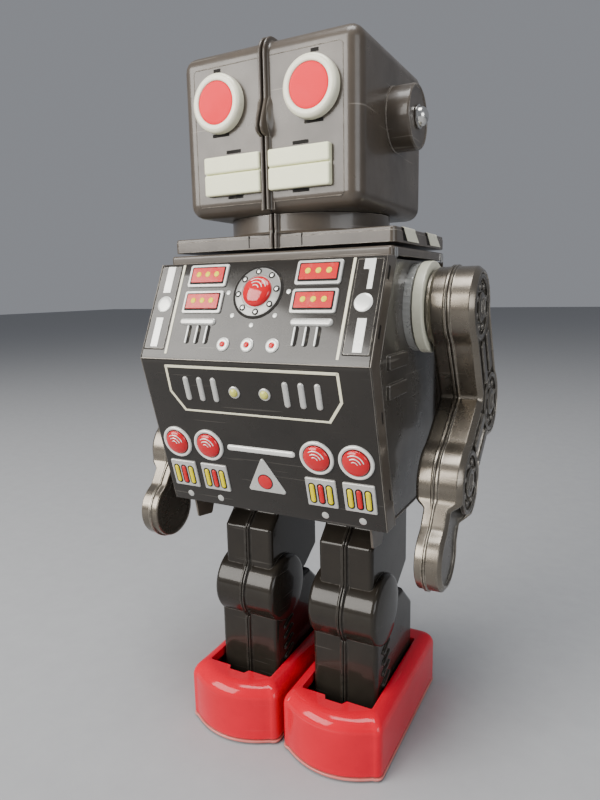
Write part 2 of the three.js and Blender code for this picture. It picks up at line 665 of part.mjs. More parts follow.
function gearboxPlate(side) {
  const { inner, thick, front, back, heel, toe, bottom, top } = PLATE;
  const span = side > 0 ? [inner, inner + thick] : [-inner - thick, -inner];
  const waist = BAY.bottom - 1;
  const outline = [
    [toe, bottom], [heel, bottom], [heel, waist - 7], [back, waist],
    [back, top], [front, top], [front, top - 26],
  ];
  const plate = prismX(outline, ...span);
  const holes = [0, 1, 2, 3].map((k) =>
    rod(k === 0 ? 2.4 : 1.6, -20, 20, trainAxis(k).y, trainAxis(k).z, 12),
  );
  if (side < 0) return cut(plate, ...holes);
  // Four posts hold the plates apart; they belong to the left plate.
  const inward = 2.4;
  const places = [
    [toe + inward, bottom + inward], [heel - inward, bottom + inward],
    [front + inward, top - inward], [back - inward, top - inward],
  ];
  const posts = places.map(([y, z]) => rod(1.4, -inner + GAP, inner + 0.5, y, z, 8));
  return cut(join(plate, ...posts), ...holes);
}

function motorCan() {
  const axis = trainAxis(3);
  const start = PLATE.inner + PLATE.thick + GAP;
  const can = rod(MOTOR.radius, start, start + MOTOR.length, axis.y, axis.z);
  return cut(can, rod(1.3, start - 1, start + 1, axis.y, axis.z, 10));
}

// ---------------------------------------------------------------- battery compartment and switch
function batteryBay() {
  const { halfWidth, front, back, bottom, top } = BAY;
  const wall = 1.2;
  return cut(
    box(-halfWidth, halfWidth, front, back, bottom, top),
    box(-halfWidth + wall, halfWidth - wall, front + wall, back + 1, bottom + wall, top - wall),
  );
}

function batteryCell(x, up) {
  const { radius, length, y, bottom } = CELL;
  const shoulder = length - 2;
  const profile = [
    [0, 0], [radius - 2, 0], [radius, 0.8], [radius, shoulder - 1.2], [radius - 1.2, shoulder],
    [3, shoulder], [3, length], [0, length],
  ];
  return pointed(turned(profile, 16), [x, y, up > 0 ? bottom : bottom + length], [0, 0, up]);
}

const BAY_FLOOR = BAY.bottom + 1.2;
const BAY_ROOF = BAY.top - 1.2;
const contactBridge = () =>
  box(-CELL.x - 6, CELL.x + 6, CELL.y - 5, CELL.y + 5, BAY_FLOOR + GAP, CELL.bottom - GAP);
const contactTab = () =>
  box(CELL.x - 5, CELL.x + 5, CELL.y - 5, CELL.y + 5, CELL.bottom + CELL.length + GAP, BAY_ROOF - GAP);

// The door swings down on the barrel along its lower edge.
function batteryDoor() {
  const { halfWidth, bottom, top } = DOOR;
  const y = TORSO.back;
  const barrel = 1;
  const plate = box(-halfWidth, halfWidth, y - 1, y, bottom + 0.4, top);
  const grip = box(-8, 8, y - 0.5, y + 1.6, top - 6, top - 3.5);
  return join(plate, rod(barrel, -halfWidth, halfWidth, y - barrel, bottom + 0.4, 16), grip);
}

function switchBody() {
  const back = TORSO.back - SHEET - GAP;
  const middle = SWITCH.z + SWITCH.travel / 2;
  const body = box(SWITCH.x - 5, SWITCH.x + 5, back - 6, back, middle - 10, middle + 10);
  const reach = SWITCH.travel / 2 + 2.6;
  return cut(body, box(SWITCH.x - 2.5, SWITCH.x + 2.5, back - 4, back + 1, middle - reach, middle + reach));
}

const switchKnob = () =>
  box(SWITCH.x - 1.8, SWITCH.x + 1.8, TORSO.back - 4.5, TORSO.back + 2.2, SWITCH.z - 2, SWITCH.z + 2);

// ---------------------------------------------------------------- assembly
// Sub-parts of one side are built for the left and mirrored for the right.
function addSide(sideName) {
  const half = new THREE.Group();
  half.scale.x = SIDES[sideName];
  robot.add(half);
  piece(half, `head_shell_${sideName}`, headShell(), BLACK_TIN);
  piece(half, `eye_bezel_${sideName}`, eyeBezel(), CREAM);
  piece(half, `eye_lens_${sideName}`, eyeLens(), RED_LENS);
  piece(half, `mouth_plate_${sideName}`, mouthPlate(), MOUTH_TIN);
  piece(half, `ear_cap_${sideName}`, earCap(), BLACK_TIN);
  piece(half, `ear_knob_${sideName}`, earKnob(), BRIGHT_TIN);
  piece(half, `neck_shoulder_${sideName}`, yokeHalf(), BLACK_TIN);
  piece(half, `shoulder_insert_${sideName}`, yokeInsert(), CREAM);
  piece(half, `side_panel_${sideName}`, sidePanel(), BLACK_TIN);
  piece(half, `shoulder_ring_${sideName}`, shoulderRing(), CREAM);
  piece(half, `arm_inner_${sideName}`, armInner(), GUNMETAL);
  piece(half, `arm_outer_${sideName}`, armOuter(), GUNMETAL);
  piece(half, `crank_disc_${sideName}`, crankDisc(SIDES[sideName]), STEEL);
  piece(half, `battery_contact_${sideName}`, contactTab(), BRASS);
  piece(half, `battery_cell_${sideName}`, batteryCell(CELL.x, SIDES[sideName]), CELL_JACKET);

  const leg = new THREE.Group();
  leg.position.x = LEG.x;
  half.add(leg);
  piece(leg, `leg_outer_${sideName}`, legOuter(), LEG_TIN);
  piece(leg, `leg_inner_${sideName}`, legInner(), LEG_TIN);
  piece(leg, `boot_${sideName}`, boot(), RED_TIN);
  piece(leg, `sole_${sideName}`, sole(), STEEL);
  piece(leg, `front_rollers_${sideName}`, rollers(ROLLER.front), RUBBER);
  piece(leg, `rear_rollers_${sideName}`, rollers(ROLLER.back), RUBBER);
}

for (const sideName of Object.keys(SIDES)) addSide(sideName);

const axleEnd = ARM.seam - 2;
piece(robot, "top_cap", topCap(), BLACK_TIN);
piece(robot, "front_panel", frontPanel(), BLACK_TIN);
piece(robot, "back_panel", backPanel(), BLACK_TIN);
piece(robot, "base_plate", basePlate(), BLACK_TIN);
piece(robot, "shoulder_axle", rod(SHOULDER.axle, -axleEnd, axleEnd, SHOULDER.y, SHOULDER.z, 8), STEEL);
piece(robot, "gearbox_plate_left", gearboxPlate(1), STEEL);
piece(robot, "gearbox_plate_right", gearboxPlate(-1), STEEL);
piece(robot, "motor", motorCan(), STEEL);
piece(robot, "motor_pinion", motorPinion(), BRASS);
piece(robot, "first_idler_gear", idler(2, -1), PLASTIC);
piece(robot, "second_idler_gear", idler(1, 0), PLASTIC);
piece(robot, "crank_gear", crankGear(), PLASTIC);
piece(robot, "crank_shaft", crankShaft(), STEEL);
piece(robot, "battery_bay", batteryBay(), PLASTIC);
piece(robot, "battery_bridge", contactBridge(), BRASS);
piece(robot, "battery_door", batteryDoor(), BLACK_TIN);
piece(robot, "switch_body", switchBody(), PLASTIC);
piece(robot, "switch_knob", switchKnob(), RED_LENS);

export default root;
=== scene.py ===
"""Looks of the walking tin robot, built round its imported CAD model.

Shapes are worked out in millimetres with y = 0 at the shoulder axle, +Z up and the robot facing -Y.
They are turned into metres in the frame when a piece is made."""

import math
from types import SimpleNamespace

import bmesh
import bpy
import numpy as np
from mathutils import Matrix, Vector


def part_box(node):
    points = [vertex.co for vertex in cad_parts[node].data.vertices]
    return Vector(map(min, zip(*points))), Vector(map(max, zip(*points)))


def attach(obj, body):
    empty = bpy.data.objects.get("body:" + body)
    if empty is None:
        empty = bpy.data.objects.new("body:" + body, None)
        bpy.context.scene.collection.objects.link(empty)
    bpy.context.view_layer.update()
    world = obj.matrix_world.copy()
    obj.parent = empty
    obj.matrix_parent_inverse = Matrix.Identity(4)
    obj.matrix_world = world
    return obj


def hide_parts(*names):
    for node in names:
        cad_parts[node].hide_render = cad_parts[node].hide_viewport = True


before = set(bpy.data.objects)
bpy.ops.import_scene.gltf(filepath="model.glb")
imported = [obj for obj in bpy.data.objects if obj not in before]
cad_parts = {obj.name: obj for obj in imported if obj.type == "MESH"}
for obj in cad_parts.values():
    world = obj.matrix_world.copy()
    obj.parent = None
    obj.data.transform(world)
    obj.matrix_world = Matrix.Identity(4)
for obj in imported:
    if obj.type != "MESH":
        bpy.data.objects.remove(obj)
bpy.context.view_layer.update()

MM = 0.001
WELD = 0.001  # points closer than this many millimetres are one
AXLE_Y = sum(corner.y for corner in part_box("shoulder_axle")) / 2 / MM


def box_mm(node):
    """A CAD node's box in millimetres, with y = 0 at the shoulder axle: x0, x1, y0, y1, z0, z1."""
    low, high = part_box(node)
    return (low.x / MM, high.x / MM, low.y / MM - AXLE_Y, high.y / MM - AXLE_Y, low.z / MM, high.z / MM)


def middle(node):
    x0, x1, y0, y1, z0, z1 = box_mm(node)
    return ((x0 + x1) / 2, (y0 + y1) / 2, (z0 + z1) / 2)


# ------------------------------------------------------------------ dimensions
SHEET = 0.5
SEAM_NEAR = 0.45
SEAM_FAR = 1.65

HEAD_X = box_mm("head_shell_left")[1]
HEAD_Y = 36.3
HEAD_BOTTOM = 230.5
HEAD_TOP = 292.2
HEAD_EDGE = 5.5
NOSE_LOW = 256.5
NOSE_HEIGHT = 16.5
NOSE_SWELL = 2.9

PANEL_TOP = (-40.0, 212.4)
CREASE = (-57.2, 174.9)
PANEL_BOTTOM = (-39.6, 110.0)
UPPER = (PANEL_TOP, CREASE)
LOWER = (CREASE, PANEL_BOTTOM)
ROWS = 41.26 / 43.5  # from the spacing of the printed rows of the upper half to its length
TORSO_X = box_mm("front_panel")[1]
RETURN_DEPTH = 9.0

# Side view of the arm: y, z and radius of each disc.
ARM_DISCS = ((0.0, 193.0, 16.0), (24.0, 151.5, 15.9), (-12.0, 125.0, 15.8), (-28.5, 99.5, 13.2))
# How far each link between two discs reaches to the front and to the back of the line between them.
ARM_LINKS = ((14.4, 13.4), (14.6, 5), (11.2, 9.6))
ARM_SEAM = 64.5
ARM_FACE_X = 73.3

LEG_X = 24.6
LEG_HALF = 15.3
THIGH_HALF = 12.6
KNEE_Y = -11.5
KNEE_Z = 62.0
KNEE_R = 16.0
THIGH = [(-21.5, 62), (12, 62), (25, 70), (25, 100), (17, 106), (17, 138), (-15, 138), (-15, 99),
         (-21.5, 93)]
SHIN = [(-23, 8), (25, 8), (25, 50), (12, 62), (-23, 62)]
WHEELS = {"front": -27, "rear": 29}
WHEEL_X = 12
WHEEL_Z = 4.6


# ------------------------------------------------------------------ placings: local (u, v, w) to a point
def along_x(x=0.0, y=0.0, z=0.0):
    """u along +Y, v up, w along +X."""
    return lambda u, v, w: (x + w, y + u, z + v)


def along_z(x=0.0, y=0.0, z=0.0):
    return lambda u, v, w: (x + u, y + v, z + w)


def along_front(x=0.0, y=0.0, z=0.0):
    """u along +X, v up, w out of the front."""
    return lambda u, v, w: (x + u, y - w, z + v)


def along_back(x=0.0, y=0.0, z=0.0):
    return lambda u, v, w: (x - u, y + w, z + v)


def along_down(x=0.0, y=0.0, z=0.0):
    return lambda u, v, w: (x + u, y - v, z - w)


def along_leg(outwards, x=0.0, y=0.0, z=0.0):
    """u along +Y, v up, w from the leg's middle outwards (1) or inwards (-1)."""
    return lambda u, v, w: (LEG_X + outwards * (x + w), y + u, z + v)


def on_panel(half, x, s):
    """A place on a half of the front panel: x across, s down from its top edge, w out of it."""
    (y0, z0), (y1, z1) = half
    length = math.hypot(y1 - y0, z1 - z0)
    dy, dz = (y1 - y0) / length, (z1 - z0) / length
    return lambda u, v, w: (x + u, y0 + dy * (s - v) + dz * w, z0 + dz * (s - v) - dy * w)


def upper(x, s):
    return on_panel(UPPER, x, s * ROWS)


def lower(x, s):
    return on_panel(LOWER, x, s)


def moved(to, du=0.0, dv=0.0, turn=0.0):
    """A placing shifted in its own plane, and turned anticlockwise there."""
    c, s = math.cos(turn), math.sin(turn)
    return lambda u, v, w: to(du + u * c - v * s, dv + u * s + v * c, w)


# ------------------------------------------------------------------ outlines and profiles
def quarter(steps, first=0, last=None):
    """Angles of a quarter turn in equal steps, or some of them."""
    return [math.pi / 2 * k / steps for k in range(first, (steps if last is None else last) + 1)]


def around(count, radius, phase=0.0):
    """Places spaced evenly on a circle."""
    angles = [2 * math.pi * (k + phase) / count for k in range(count)]
    return [(radius * math.cos(a), radius * math.sin(a)) for a in angles]


def arc(cu, cv, radius, start, end, steps=6):
    angles = [math.radians(start + (end - start) * k / steps) for k in range(steps + 1)]
    return [(cu + radius * math.cos(a), cv + radius * math.sin(a)) for a in angles]


def dome(radius, base, height, steps=8):
    """The end of a lathe profile: a quarter ellipse that closes on the axis."""
    curve = [(radius * math.cos(t), base + height * math.sin(t)) for t in quarter(steps, 1, steps - 1)]
    return [*curve, (0, base + height)]


def rectangle(u0, u1, v0, v1):
    return [(u0, v0), (u1, v0), (u1, v1), (u0, v1)]


def inset(points, distance):
    """An anticlockwise outline moved inwards."""
    edges = []
    for i, point in enumerate(points):
        a, b = Vector(point), Vector(points[(i + 1) % len(points)])
        along = (b - a).normalized()
        edges.append((a + Vector((-along.y, along.x)) * distance, along))
    shifted = []
    for i, (q, e) in enumerate(edges):
        p, d = edges[i - 1]
        turn = d.x * e.y - d.y * e.x
        if abs(turn) < 1e-6:
            shifted.append(q)
            continue
        gap = q - p
        shifted.append(p + d * ((gap.x * e.y - gap.y * e.x) / turn))
    return shifted


def outline(points, radius, margin=0.0, steps=5):
    """An anticlockwise outline moved inwards by margin, with round corners. The point count never changes."""
    sharp_radius = 0.06
    corners = inset(points, margin)
    rounded = []
    for i, corner in enumerate(corners):
        before = (corner - corners[i - 1]).normalized()
        after = (corners[(i + 1) % len(corners)] - corner).normalized()
        turn = math.atan2(before.x * after.y - before.y * after.x, before.dot(after))
        side = 1 if turn > 0 else -1
        r = max(radius - side * margin, sharp_radius)
        start = corner - before * r * math.tan(abs(turn) / 2)
        centre = start + Vector((-before.y, before.x)) * r * side
        arm = start - centre
        for k in range(steps + 1):
            c, s = math.cos(turn * k / steps), math.sin(turn * k / steps)
            rounded.append((centre.x + arm.x * c - arm.y * s, centre.y + arm.x * s + arm.y * c))
    return rounded


def rounding(end, radius, sign, steps=4):
    """Stations of (w, margin) that round an outline over at its far end."""
    return [(end - sign * radius * (1 - math.sin(a)), radius * (1 - math.cos(a))) for a in quarter(steps)]


def slab(low, high, radius, steps=3):
    """Stations from one rounded end to the other."""
    return rounding(low, radius, -1, steps)[::-1] + rounding(high, radius, 1, steps)


# ------------------------------------------------------------------ mesh builders
def loft(bm, rings, caps=(False, False), ring_closed=True, path_closed=False):
    """Faces between rings of equal length."""
    rows = [[bm.verts.new(p) for p in ring] for ring in rings]
    pairs = list(zip(rows, rows[1:]))
    if path_closed:
        pairs.append((rows[-1], rows[0]))
    count = len(rings[0])
    for a, b in pairs:
        for i in range(count if ring_closed else count - 1):
            j = (i + 1) % count
            bm.faces.new((a[i], a[j], b[j], b[i]))
    if caps[0]:
        bm.faces.new(rows[0][::-1])
    if caps[1]:
        bm.faces.new(rows[-1])


def stack(bm, to, points, radius, stations, steps=5):
    """An outline swept along w through stations of (w, margin)."""
    loft(bm, [[to(u, v, w) for u, v in outline(points, radius, margin, steps)] for w, margin in stations],
         (True, True))


def lathe(bm, to, profile, steps=48):
    """A profile of (radius, w) turned about w. It may close on the axis at either end."""
    rows = []
    for r, w in profile:
        places = around(steps, r) if r > 1e-6 else [(0, 0)]
        rows.append([bm.verts.new(to(u, v, w)) for u, v in places])
    for a, b in zip(rows, rows[1:]):
        for i in range(steps):
            j = (i + 1) % steps
            if len(a) == 1:
                bm.faces.new((a[0], b[j], b[i]))
            elif len(b) == 1:
                bm.faces.new((a[i], a[j], b[0]))
            else:
                bm.faces.new((a[i], a[j], b[j], b[i]))


def disc(bm, to, radius, low, high, steps):
    lathe(bm, to, [(0, low), (radius, low), (radius, high), (0, high)], steps)


def plate(bm, to, u0, u1, v0, v1, height, edge=0.3, corner=0.5, sunk=0.3):
    """A raised rectangle with rounded edges."""
    stack(bm, to, rectangle(u0, u1, v0, v1), corner, [(-sunk, 0)] + rounding(height, edge, 1, 3), steps=3)


def pill(bm, to, u0, u1, v0, v1, height, sunk=0.3):
    """A raised bar with half-round ends."""
    half = min(u1 - u0, v1 - v0) / 2
    crown = min(height, half * 0.75)
    stations = [(-sunk, 0), (height - crown, 0)]
    stations += [(height - crown * (1 - math.sin(a)), half * 0.7 * (1 - math.cos(a))) for a in quarter(4, 1)]
    stack(bm, to, rectangle(u0, u1, v0, v1), half * 0.995, stations, steps=8)


def bar(bm, half, start, end, width, height, extend=0.0):
    """A thin straight line on a half of the panel between two (x, s) points."""
    edge = 0.08
    across, up = end[0] - start[0], start[1] - end[1]
    to = moved(on_panel(half, *start), turn=math.atan2(up, across))
    line = rectangle(-extend, math.hypot(across, up) + extend, -width / 2, width / 2)
    stack(bm, to, line, 0.1, [(-0.15, 0), (height - edge, 0), (height, edge)], steps=2)


def rail(bm, path, profile):
    """A profile of (x, outwards, share of the extra) along a path of ((y, z), (outwards y, z), extra)."""
    rings = []
    for (y, z), (oy, oz), extra in path:
        ring = []
        for x, out, *share in profile:
            reach = out + extra * (share[0] if share else float(out > 0.3))
            ring.append((x, y + oy * reach, z + oz * reach))
        rings.append(ring)
    loft(bm, rings, (True, True))


def tube(bm, points, radius, steps=6):
    """A round bead along a path of 3-D points."""
    path = [Vector(p) for p in points]
    rings = []
    for i, p in enumerate(path):
        along = (path[min(i + 1, len(path) - 1)] - path[max(i - 1, 0)]).normalized()
        side = along.cross(Vector((0, 0, 1)))
        if side.length < 0.2:
            side = along.cross(Vector((1, 0, 0)))
        side.normalize()
        up = side.cross(along)
        rings.append([p + side * u + up * v for u, v in around(steps, radius)])
    loft(bm, rings, (True, True))


def piece(name, bm, material, side=None, replaces=(), body="torso", sharp=38, thick=None,
          recalc=True):
    """Turns a bmesh in robot millimetres into an object that rides on a body.

    With a side, the name and the nodes it replaces end in that side, and the right-hand piece is the mirror
    image of the left-hand one."""
    ending = f"_{side}" if side else ""
    bmesh.ops.remove_doubles(bm, verts=bm.verts[:], dist=WELD)
    if recalc:
        bmesh.ops.recalc_face_normals(bm, faces=bm.faces[:])
    if side == "right":
        bmesh.ops.scale(bm, verts=bm.verts[:], vec=(-1, 1, 1))
        bmesh.ops.reverse_faces(bm, faces=bm.faces[:])
    bmesh.ops.scale(bm, verts=bm.verts[:], vec=(MM, MM, MM))
    bmesh.ops.translate(bm, verts=bm.verts[:], vec=(0, AXLE_Y * MM, 0))
    bm.normal_update()
    for face in bm.faces:
        face.smooth = True
    for edge in bm.edges:
        if len(edge.link_faces) == 2 and edge.calc_face_angle(0) > math.radians(sharp):
            edge.smooth = False
    mesh = bpy.data.meshes.new(name + ending)
    bm.to_mesh(mesh)
    bm.free()
    obj = bpy.data.objects.new(name + ending, mesh)
    bpy.context.scene.collection.objects.link(obj)
    mesh.materials.append(material)
    if thick:
        solid = obj.modifiers.new("sheet", "SOLIDIFY")
        solid.thickness = thick * MM
        solid.offset = -1
    weighted = obj.modifiers.new("normals", "WEIGHTED_NORMAL")
    weighted.keep_sharp = True
    weighted.weight = 80
    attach(obj, body)
    if replaces:
        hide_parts(*[node + ending for node in replaces])


# ------------------------------------------------------------------ material nodes
def add(tree, kind, sockets, **settings):
    """A node with its settings, and its sockets linked or set by name or number."""
    node = tree.nodes.new(kind)
    for key, value in settings.items():
        setattr(node, key, value)
    feed(tree, node, sockets)
    return node


def feed(tree, node, sockets):
    for key, value in sockets.items():
        if isinstance(value, bpy.types.NodeSocket):
            tree.links.new(value, node.inputs[key])
        else:
            node.inputs[key].default_value = value


def new_material(name):
    material = bpy.data.materials.new(name)
    material.use_nodes = True
    tree = material.node_tree
    coords = tree.nodes.new("ShaderNodeTexCoord").outputs["Object"]
    return material, tree, tree.nodes["Principled BSDF"], coords


def noise(tree, coords, scale, detail=3.0, rough=0.55, stretch=(1, 1, 1), turn=(0, 0, 0)):
    mapping = add(tree, "ShaderNodeMapping", {"Vector": coords, "Scale": stretch, "Rotation": turn})
    sockets = {"Vector": mapping.outputs["Vector"], "Scale": scale, "Detail": detail, "Roughness": rough}
    return add(tree, "ShaderNodeTexNoise", sockets).outputs["Fac"]


def ramp(tree, value, low, high, start=0.0, end=1.0):
    sockets = {"Value": value, "From Min": low, "From Max": high, "To Min": start, "To Max": end}
    return add(tree, "ShaderNodeMapRange", sockets).outputs["Result"]


def combine(tree, kind, first, second):
    return add(tree, "ShaderNodeMath", {0: first, 1: second}, operation=kind, use_clamp=True).outputs[0]


def blend(tree, share, first, second):
    first, second = ((*c, 1) if isinstance(c, tuple) else c for c in (first, second))
    return add(tree, "ShaderNodeMix", {"Factor": share, 6: first, 7: second}, data_type="RGBA").outputs[2]


def bump(tree, height, strength, distance, under=None, invert=False):
    """A normal raised by a height field, over another normal if there is one."""
    sockets = {"Height": height, "Strength": strength, "Distance": distance * MM}
    if under is not None:
        sockets["Normal"] = under
    return add(tree, "ShaderNodeBump", sockets, invert=invert).outputs["Normal"]


def edge_mask(tree, width, gain):
    """1 on edges, 0 on flats: how far a rounded normal leans from the true one."""
    bevel = add(tree, "ShaderNodeBevel", {"Radius": width * MM}, samples=6)
    geometry = tree.nodes.new("ShaderNodeNewGeometry")
    sockets = {0: bevel.outputs["Normal"], 1: geometry.outputs["Normal"]}
    dot = add(tree, "ShaderNodeVectorMath", sockets, operation="DOT_PRODUCT")
    return ramp(tree, dot.outputs["Value"], 1.0, 1.0 - gain)


def lacquer(name, colour, tint, rough, metal=0.0, coat=0.5, wear_colour=(0.42, 0.39, 0.35), wear=0.5,
            wear_width=0.45, scratch=0.35, peel=0.06, dents=0.25, grime=0.35, worn_metal=0.7, specular=0.5):
    """Lacquer over pressed tin: a mottled coat, fine scratches, rubbed edges and slightly wavy reflections."""
    material, tree, shader, coords = new_material(name)
    base = blend(tree, ramp(tree, noise(tree, coords, 45, 4), 0.3, 0.7), colour, tint)
    dirt = ramp(tree, noise(tree, coords, 160, 5, 0.65), 0.52, 0.78, 0, grime)
    base = blend(tree, dirt, base, tuple(c * 0.45 for c in colour))
    scratches = 0.0
    for turn, scale in (((0.3, 0.2, 0.5), 16), ((1.1, 0.7, 0.2), 21), ((0.6, 1.3, 0.9), 13)):
        streak = noise(tree, coords, scale, 2, 0.5, (1, 1, 38), turn)
        scratches = combine(tree, "MAXIMUM", scratches, ramp(tree, streak, 0.715, 0.735))
    scratches = combine(tree, "MULTIPLY", scratches, scratch)
    patchy = ramp(tree, noise(tree, coords, 320, 6, 0.7), 0.35, 0.6)
    rubbed = combine(tree, "MULTIPLY", edge_mask(tree, wear_width, 0.16), patchy)
    worn = combine(tree, "MAXIMUM", combine(tree, "MULTIPLY", rubbed, wear), scratches)
    shine = ramp(tree, noise(tree, coords, 90, 5, 0.6), 0.3, 0.75, *rough)
    wavy = bump(tree, noise(tree, coords, 28, 2, 0.4), dents, 0.6)
    grained = bump(tree, noise(tree, coords, 900, 3, 0.6), peel, 0.05, wavy)
    feed(tree, shader, {
        "Base Color": blend(tree, worn, base, wear_colour),
        "Roughness": combine(tree, "ADD", shine, combine(tree, "MULTIPLY", worn, 0.25)),
        "Metallic": combine(tree, "ADD", combine(tree, "MULTIPLY", worn, worn_metal), metal),
        "Coat Weight": coat,
        "Coat Roughness": 0.07,
        "Specular IOR Level": specular,
        "Normal": bump(tree, scratches, 0.25, 0.04, grained, invert=True),
        "Coat Normal": wavy,
    })
    return material


def moulded(name, colour, tint, rough, metal=0.0, coat=0.0, grain=0.08, stain=(0.5, 0.45, 0.35),
            stain_share=0.2, subsurface=0.0, wear=0.15, specular=0.5):
    """Moulded or printed surface: soft tone changes, stains in patches, fine grain, slightly rubbed edges."""
    rubbed_colour = (0.7, 0.7, 0.68)
    material, tree, shader, coords = new_material(name)
    base = blend(tree, ramp(tree, noise(tree, coords, 70, 4), 0.3, 0.7), colour, tint)
    base = blend(tree, ramp(tree, noise(tree, coords, 230, 6, 0.7), 0.55, 0.8, 0, stain_share), base, stain)
    edges = combine(tree, "MULTIPLY", edge_mask(tree, 0.3, 0.2), wear)
    rubbed = combine(tree, "MULTIPLY", edges, ramp(tree, noise(tree, coords, 500, 4), 0.4, 0.6))
    feed(tree, shader, {
        "Base Color": blend(tree, rubbed, base, rubbed_colour),
        "Roughness": ramp(tree, noise(tree, coords, 140, 5, 0.6), 0.3, 0.75, *rough),
        "Metallic": metal,
        "Specular IOR Level": specular,
        "Coat Weight": coat,
        "Coat Roughness": 0.08,
        "Normal": bump(tree, noise(tree, coords, 1200, 4, 0.6), grain, 0.06),
    })
    if subsurface:
        feed(tree, shader, {"Subsurface Weight": subsurface, "Subsurface Radius": (0.002, 0.001, 0.0006)})
    return material


def bare_metal(name, colour, tint, rough=(0.22, 0.38), brush=(1, 1, 30), strength=0.12):
    """Plated or bare metal with brushing, stains and fine dents."""
    material, tree, shader, coords = new_material(name)
    lines = noise(tree, coords, 60, 4, 0.6, brush)
    feed(tree, shader, {
        "Base Color": blend(tree, ramp(tree, noise(tree, coords, 110, 5, 0.6), 0.35, 0.7), colour, tint),
        "Roughness": ramp(tree, lines, 0.3, 0.7, *rough),
        "Metallic": 1.0,
        "Normal": bump(tree, lines, strength, 0.04),
    })
    return material


# ------------------------------------------------------------------ materials
BARE_TIN = (0.58, 0.54, 0.47)
BLACK = lacquer("black_lacquer", (0.082, 0.066, 0.051), (0.060, 0.048, 0.037), rough=(0.26, 0.40), wear=0.7,
                wear_colour=(0.55, 0.50, 0.43), coat=0.22, specular=0.42, scratch=0.2)
PANEL = lacquer("panel_lacquer", (0.020, 0.017, 0.014), (0.014, 0.012, 0.010), rough=(0.20, 0.32), wear=0.8,
                wear_colour=BARE_TIN, coat=0.5, specular=0.2, scratch=0.06)
LEG = lacquer("leg_lacquer", (0.026, 0.022, 0.017), (0.019, 0.016, 0.013), metal=0.1, rough=(0.17, 0.28),
              wear=0.35, coat=0.32, specular=0.15, scratch=0.08)
RED = lacquer("red_lacquer", (0.66, 0.001, 0.022), (0.58, 0.001, 0.018), rough=(0.14, 0.22), coat=0.4,
              wear_colour=(0.8, 0.22, 0.22), worn_metal=0.1, grime=0.12, scratch=0.08, specular=0.12)
RIM = lacquer("worn_rim", (0.52, 0.09, 0.08), (0.58, 0.22, 0.19), rough=(0.3, 0.45), coat=0.2, wear=0.6,
              wear_colour=(0.66, 0.42, 0.36), worn_metal=0.2)
ARM = lacquer("arm_gunmetal", (0.20, 0.175, 0.142), (0.150, 0.131, 0.106), metal=0.85, rough=(0.22, 0.32),
              coat=0.2, wear=0.9, wear_colour=(0.75, 0.69, 0.58), wear_width=0.7, scratch=0.15, dents=0.15,
              grime=0.2)
ARM_FACE = lacquer("arm_face", (0.085, 0.076, 0.064), (0.11, 0.099, 0.086), metal=0.6, rough=(0.26, 0.38),
                   coat=0.1, wear=1.0, wear_colour=(0.72, 0.67, 0.58), wear_width=0.6, scratch=0.15,
                   peel=0.1, dents=0.1)
SIDE = lacquer("side_lacquer", (0.064, 0.056, 0.047), (0.048, 0.042, 0.035), rough=(0.24, 0.36), wear=0.8,
               wear_colour=BARE_TIN, coat=0.3, specular=0.35, scratch=0.12)
WORN = lacquer("worn_edge", (0.34, 0.31, 0.27), (0.10, 0.09, 0.08), metal=0.6, rough=(0.25, 0.4), coat=0.0,
               wear=0.4, grime=0.6, scratch=0.1)
MOUTH = lacquer("mouth_lacquer", (0.93, 0.94, 0.66), (0.88, 0.89, 0.61), rough=(0.32, 0.44), coat=0.1,
                wear_colour=(0.46, 0.44, 0.35), scratch=0.25, grime=0.1, worn_metal=0.2, specular=0.3)
CREAM = moulded("cream_moulding", (0.80, 0.78, 0.62), (0.74, 0.73, 0.58), rough=(0.25, 0.38), coat=0.2,
                wear=0.1)
BEZEL = moulded("bezel_cream", (0.88, 0.86, 0.68), (0.84, 0.82, 0.64), rough=(0.2, 0.34), coat=0.3,
                stain_share=0.08)
LENS = moulded("eye_lens", (1.0, 0.030, 0.050), (0.97, 0.026, 0.044), rough=(0.42, 0.55), subsurface=0.1,
               stain=(0.8, 0.2, 0.15), stain_share=0.06, specular=0.1)
LAMP = moulded("lamp_red", (0.56, 0.004, 0.012), (0.50, 0.003, 0.010), rough=(0.10, 0.18), coat=0.5,
               stain_share=0.05, specular=0.3)
PRINT_CREAM = moulded("print_cream", (0.78, 0.75, 0.56), (0.70, 0.67, 0.50), rough=(0.25, 0.4), coat=0.4)
# White print, also used for the painted highlight arcs on the lamp domes.
WHITE_PRINT_AND_HIGHLIGHT = moulded("white_print_and_highlight", (0.78, 0.79, 0.75), (0.70, 0.71, 0.68), rough=(0.2, 0.35), coat=0.5,
                      metal=0.2)
DIAL = moulded("dial_grey", (0.30, 0.30, 0.285), (0.24, 0.24, 0.23), rough=(0.25, 0.38), coat=0.4, metal=0.2)
PRINT_RED = moulded("print_red", (0.60, 0.008, 0.012), (0.54, 0.006, 0.010), rough=(0.22, 0.34), coat=0.25,
                    specular=0.3)
PRINT_YELLOW = moulded("print_yellow", (0.78, 0.66, 0.001), (0.72, 0.60, 0.001), wear=0.0, rough=(0.3, 0.45),
                       coat=0.1, stain_share=0.05, specular=0.25)
PRINT_LIME = moulded("print_lime", (0.50, 0.50, 0.06), (0.62, 0.60, 0.14), rough=(0.2, 0.3), coat=0.6)
PRINT_DARK = moulded("print_dark", (0.008, 0.007, 0.006), (0.012, 0.010, 0.009), rough=(0.5, 0.7),
                     specular=0.12)
SILVER = moulded("silver_print", (0.56, 0.56, 0.53), (0.48, 0.48, 0.46), rough=(0.22, 0.38), coat=0.5,
                 metal=0.35, stain=(0.3, 0.28, 0.25), stain_share=0.25)
RUBBER = moulded("roller_rubber", (0.030, 0.030, 0.029), (0.045, 0.044, 0.042), rough=(0.65, 0.85),
                 grain=0.3, stain=(0.12, 0.11, 0.10), stain_share=0.3)
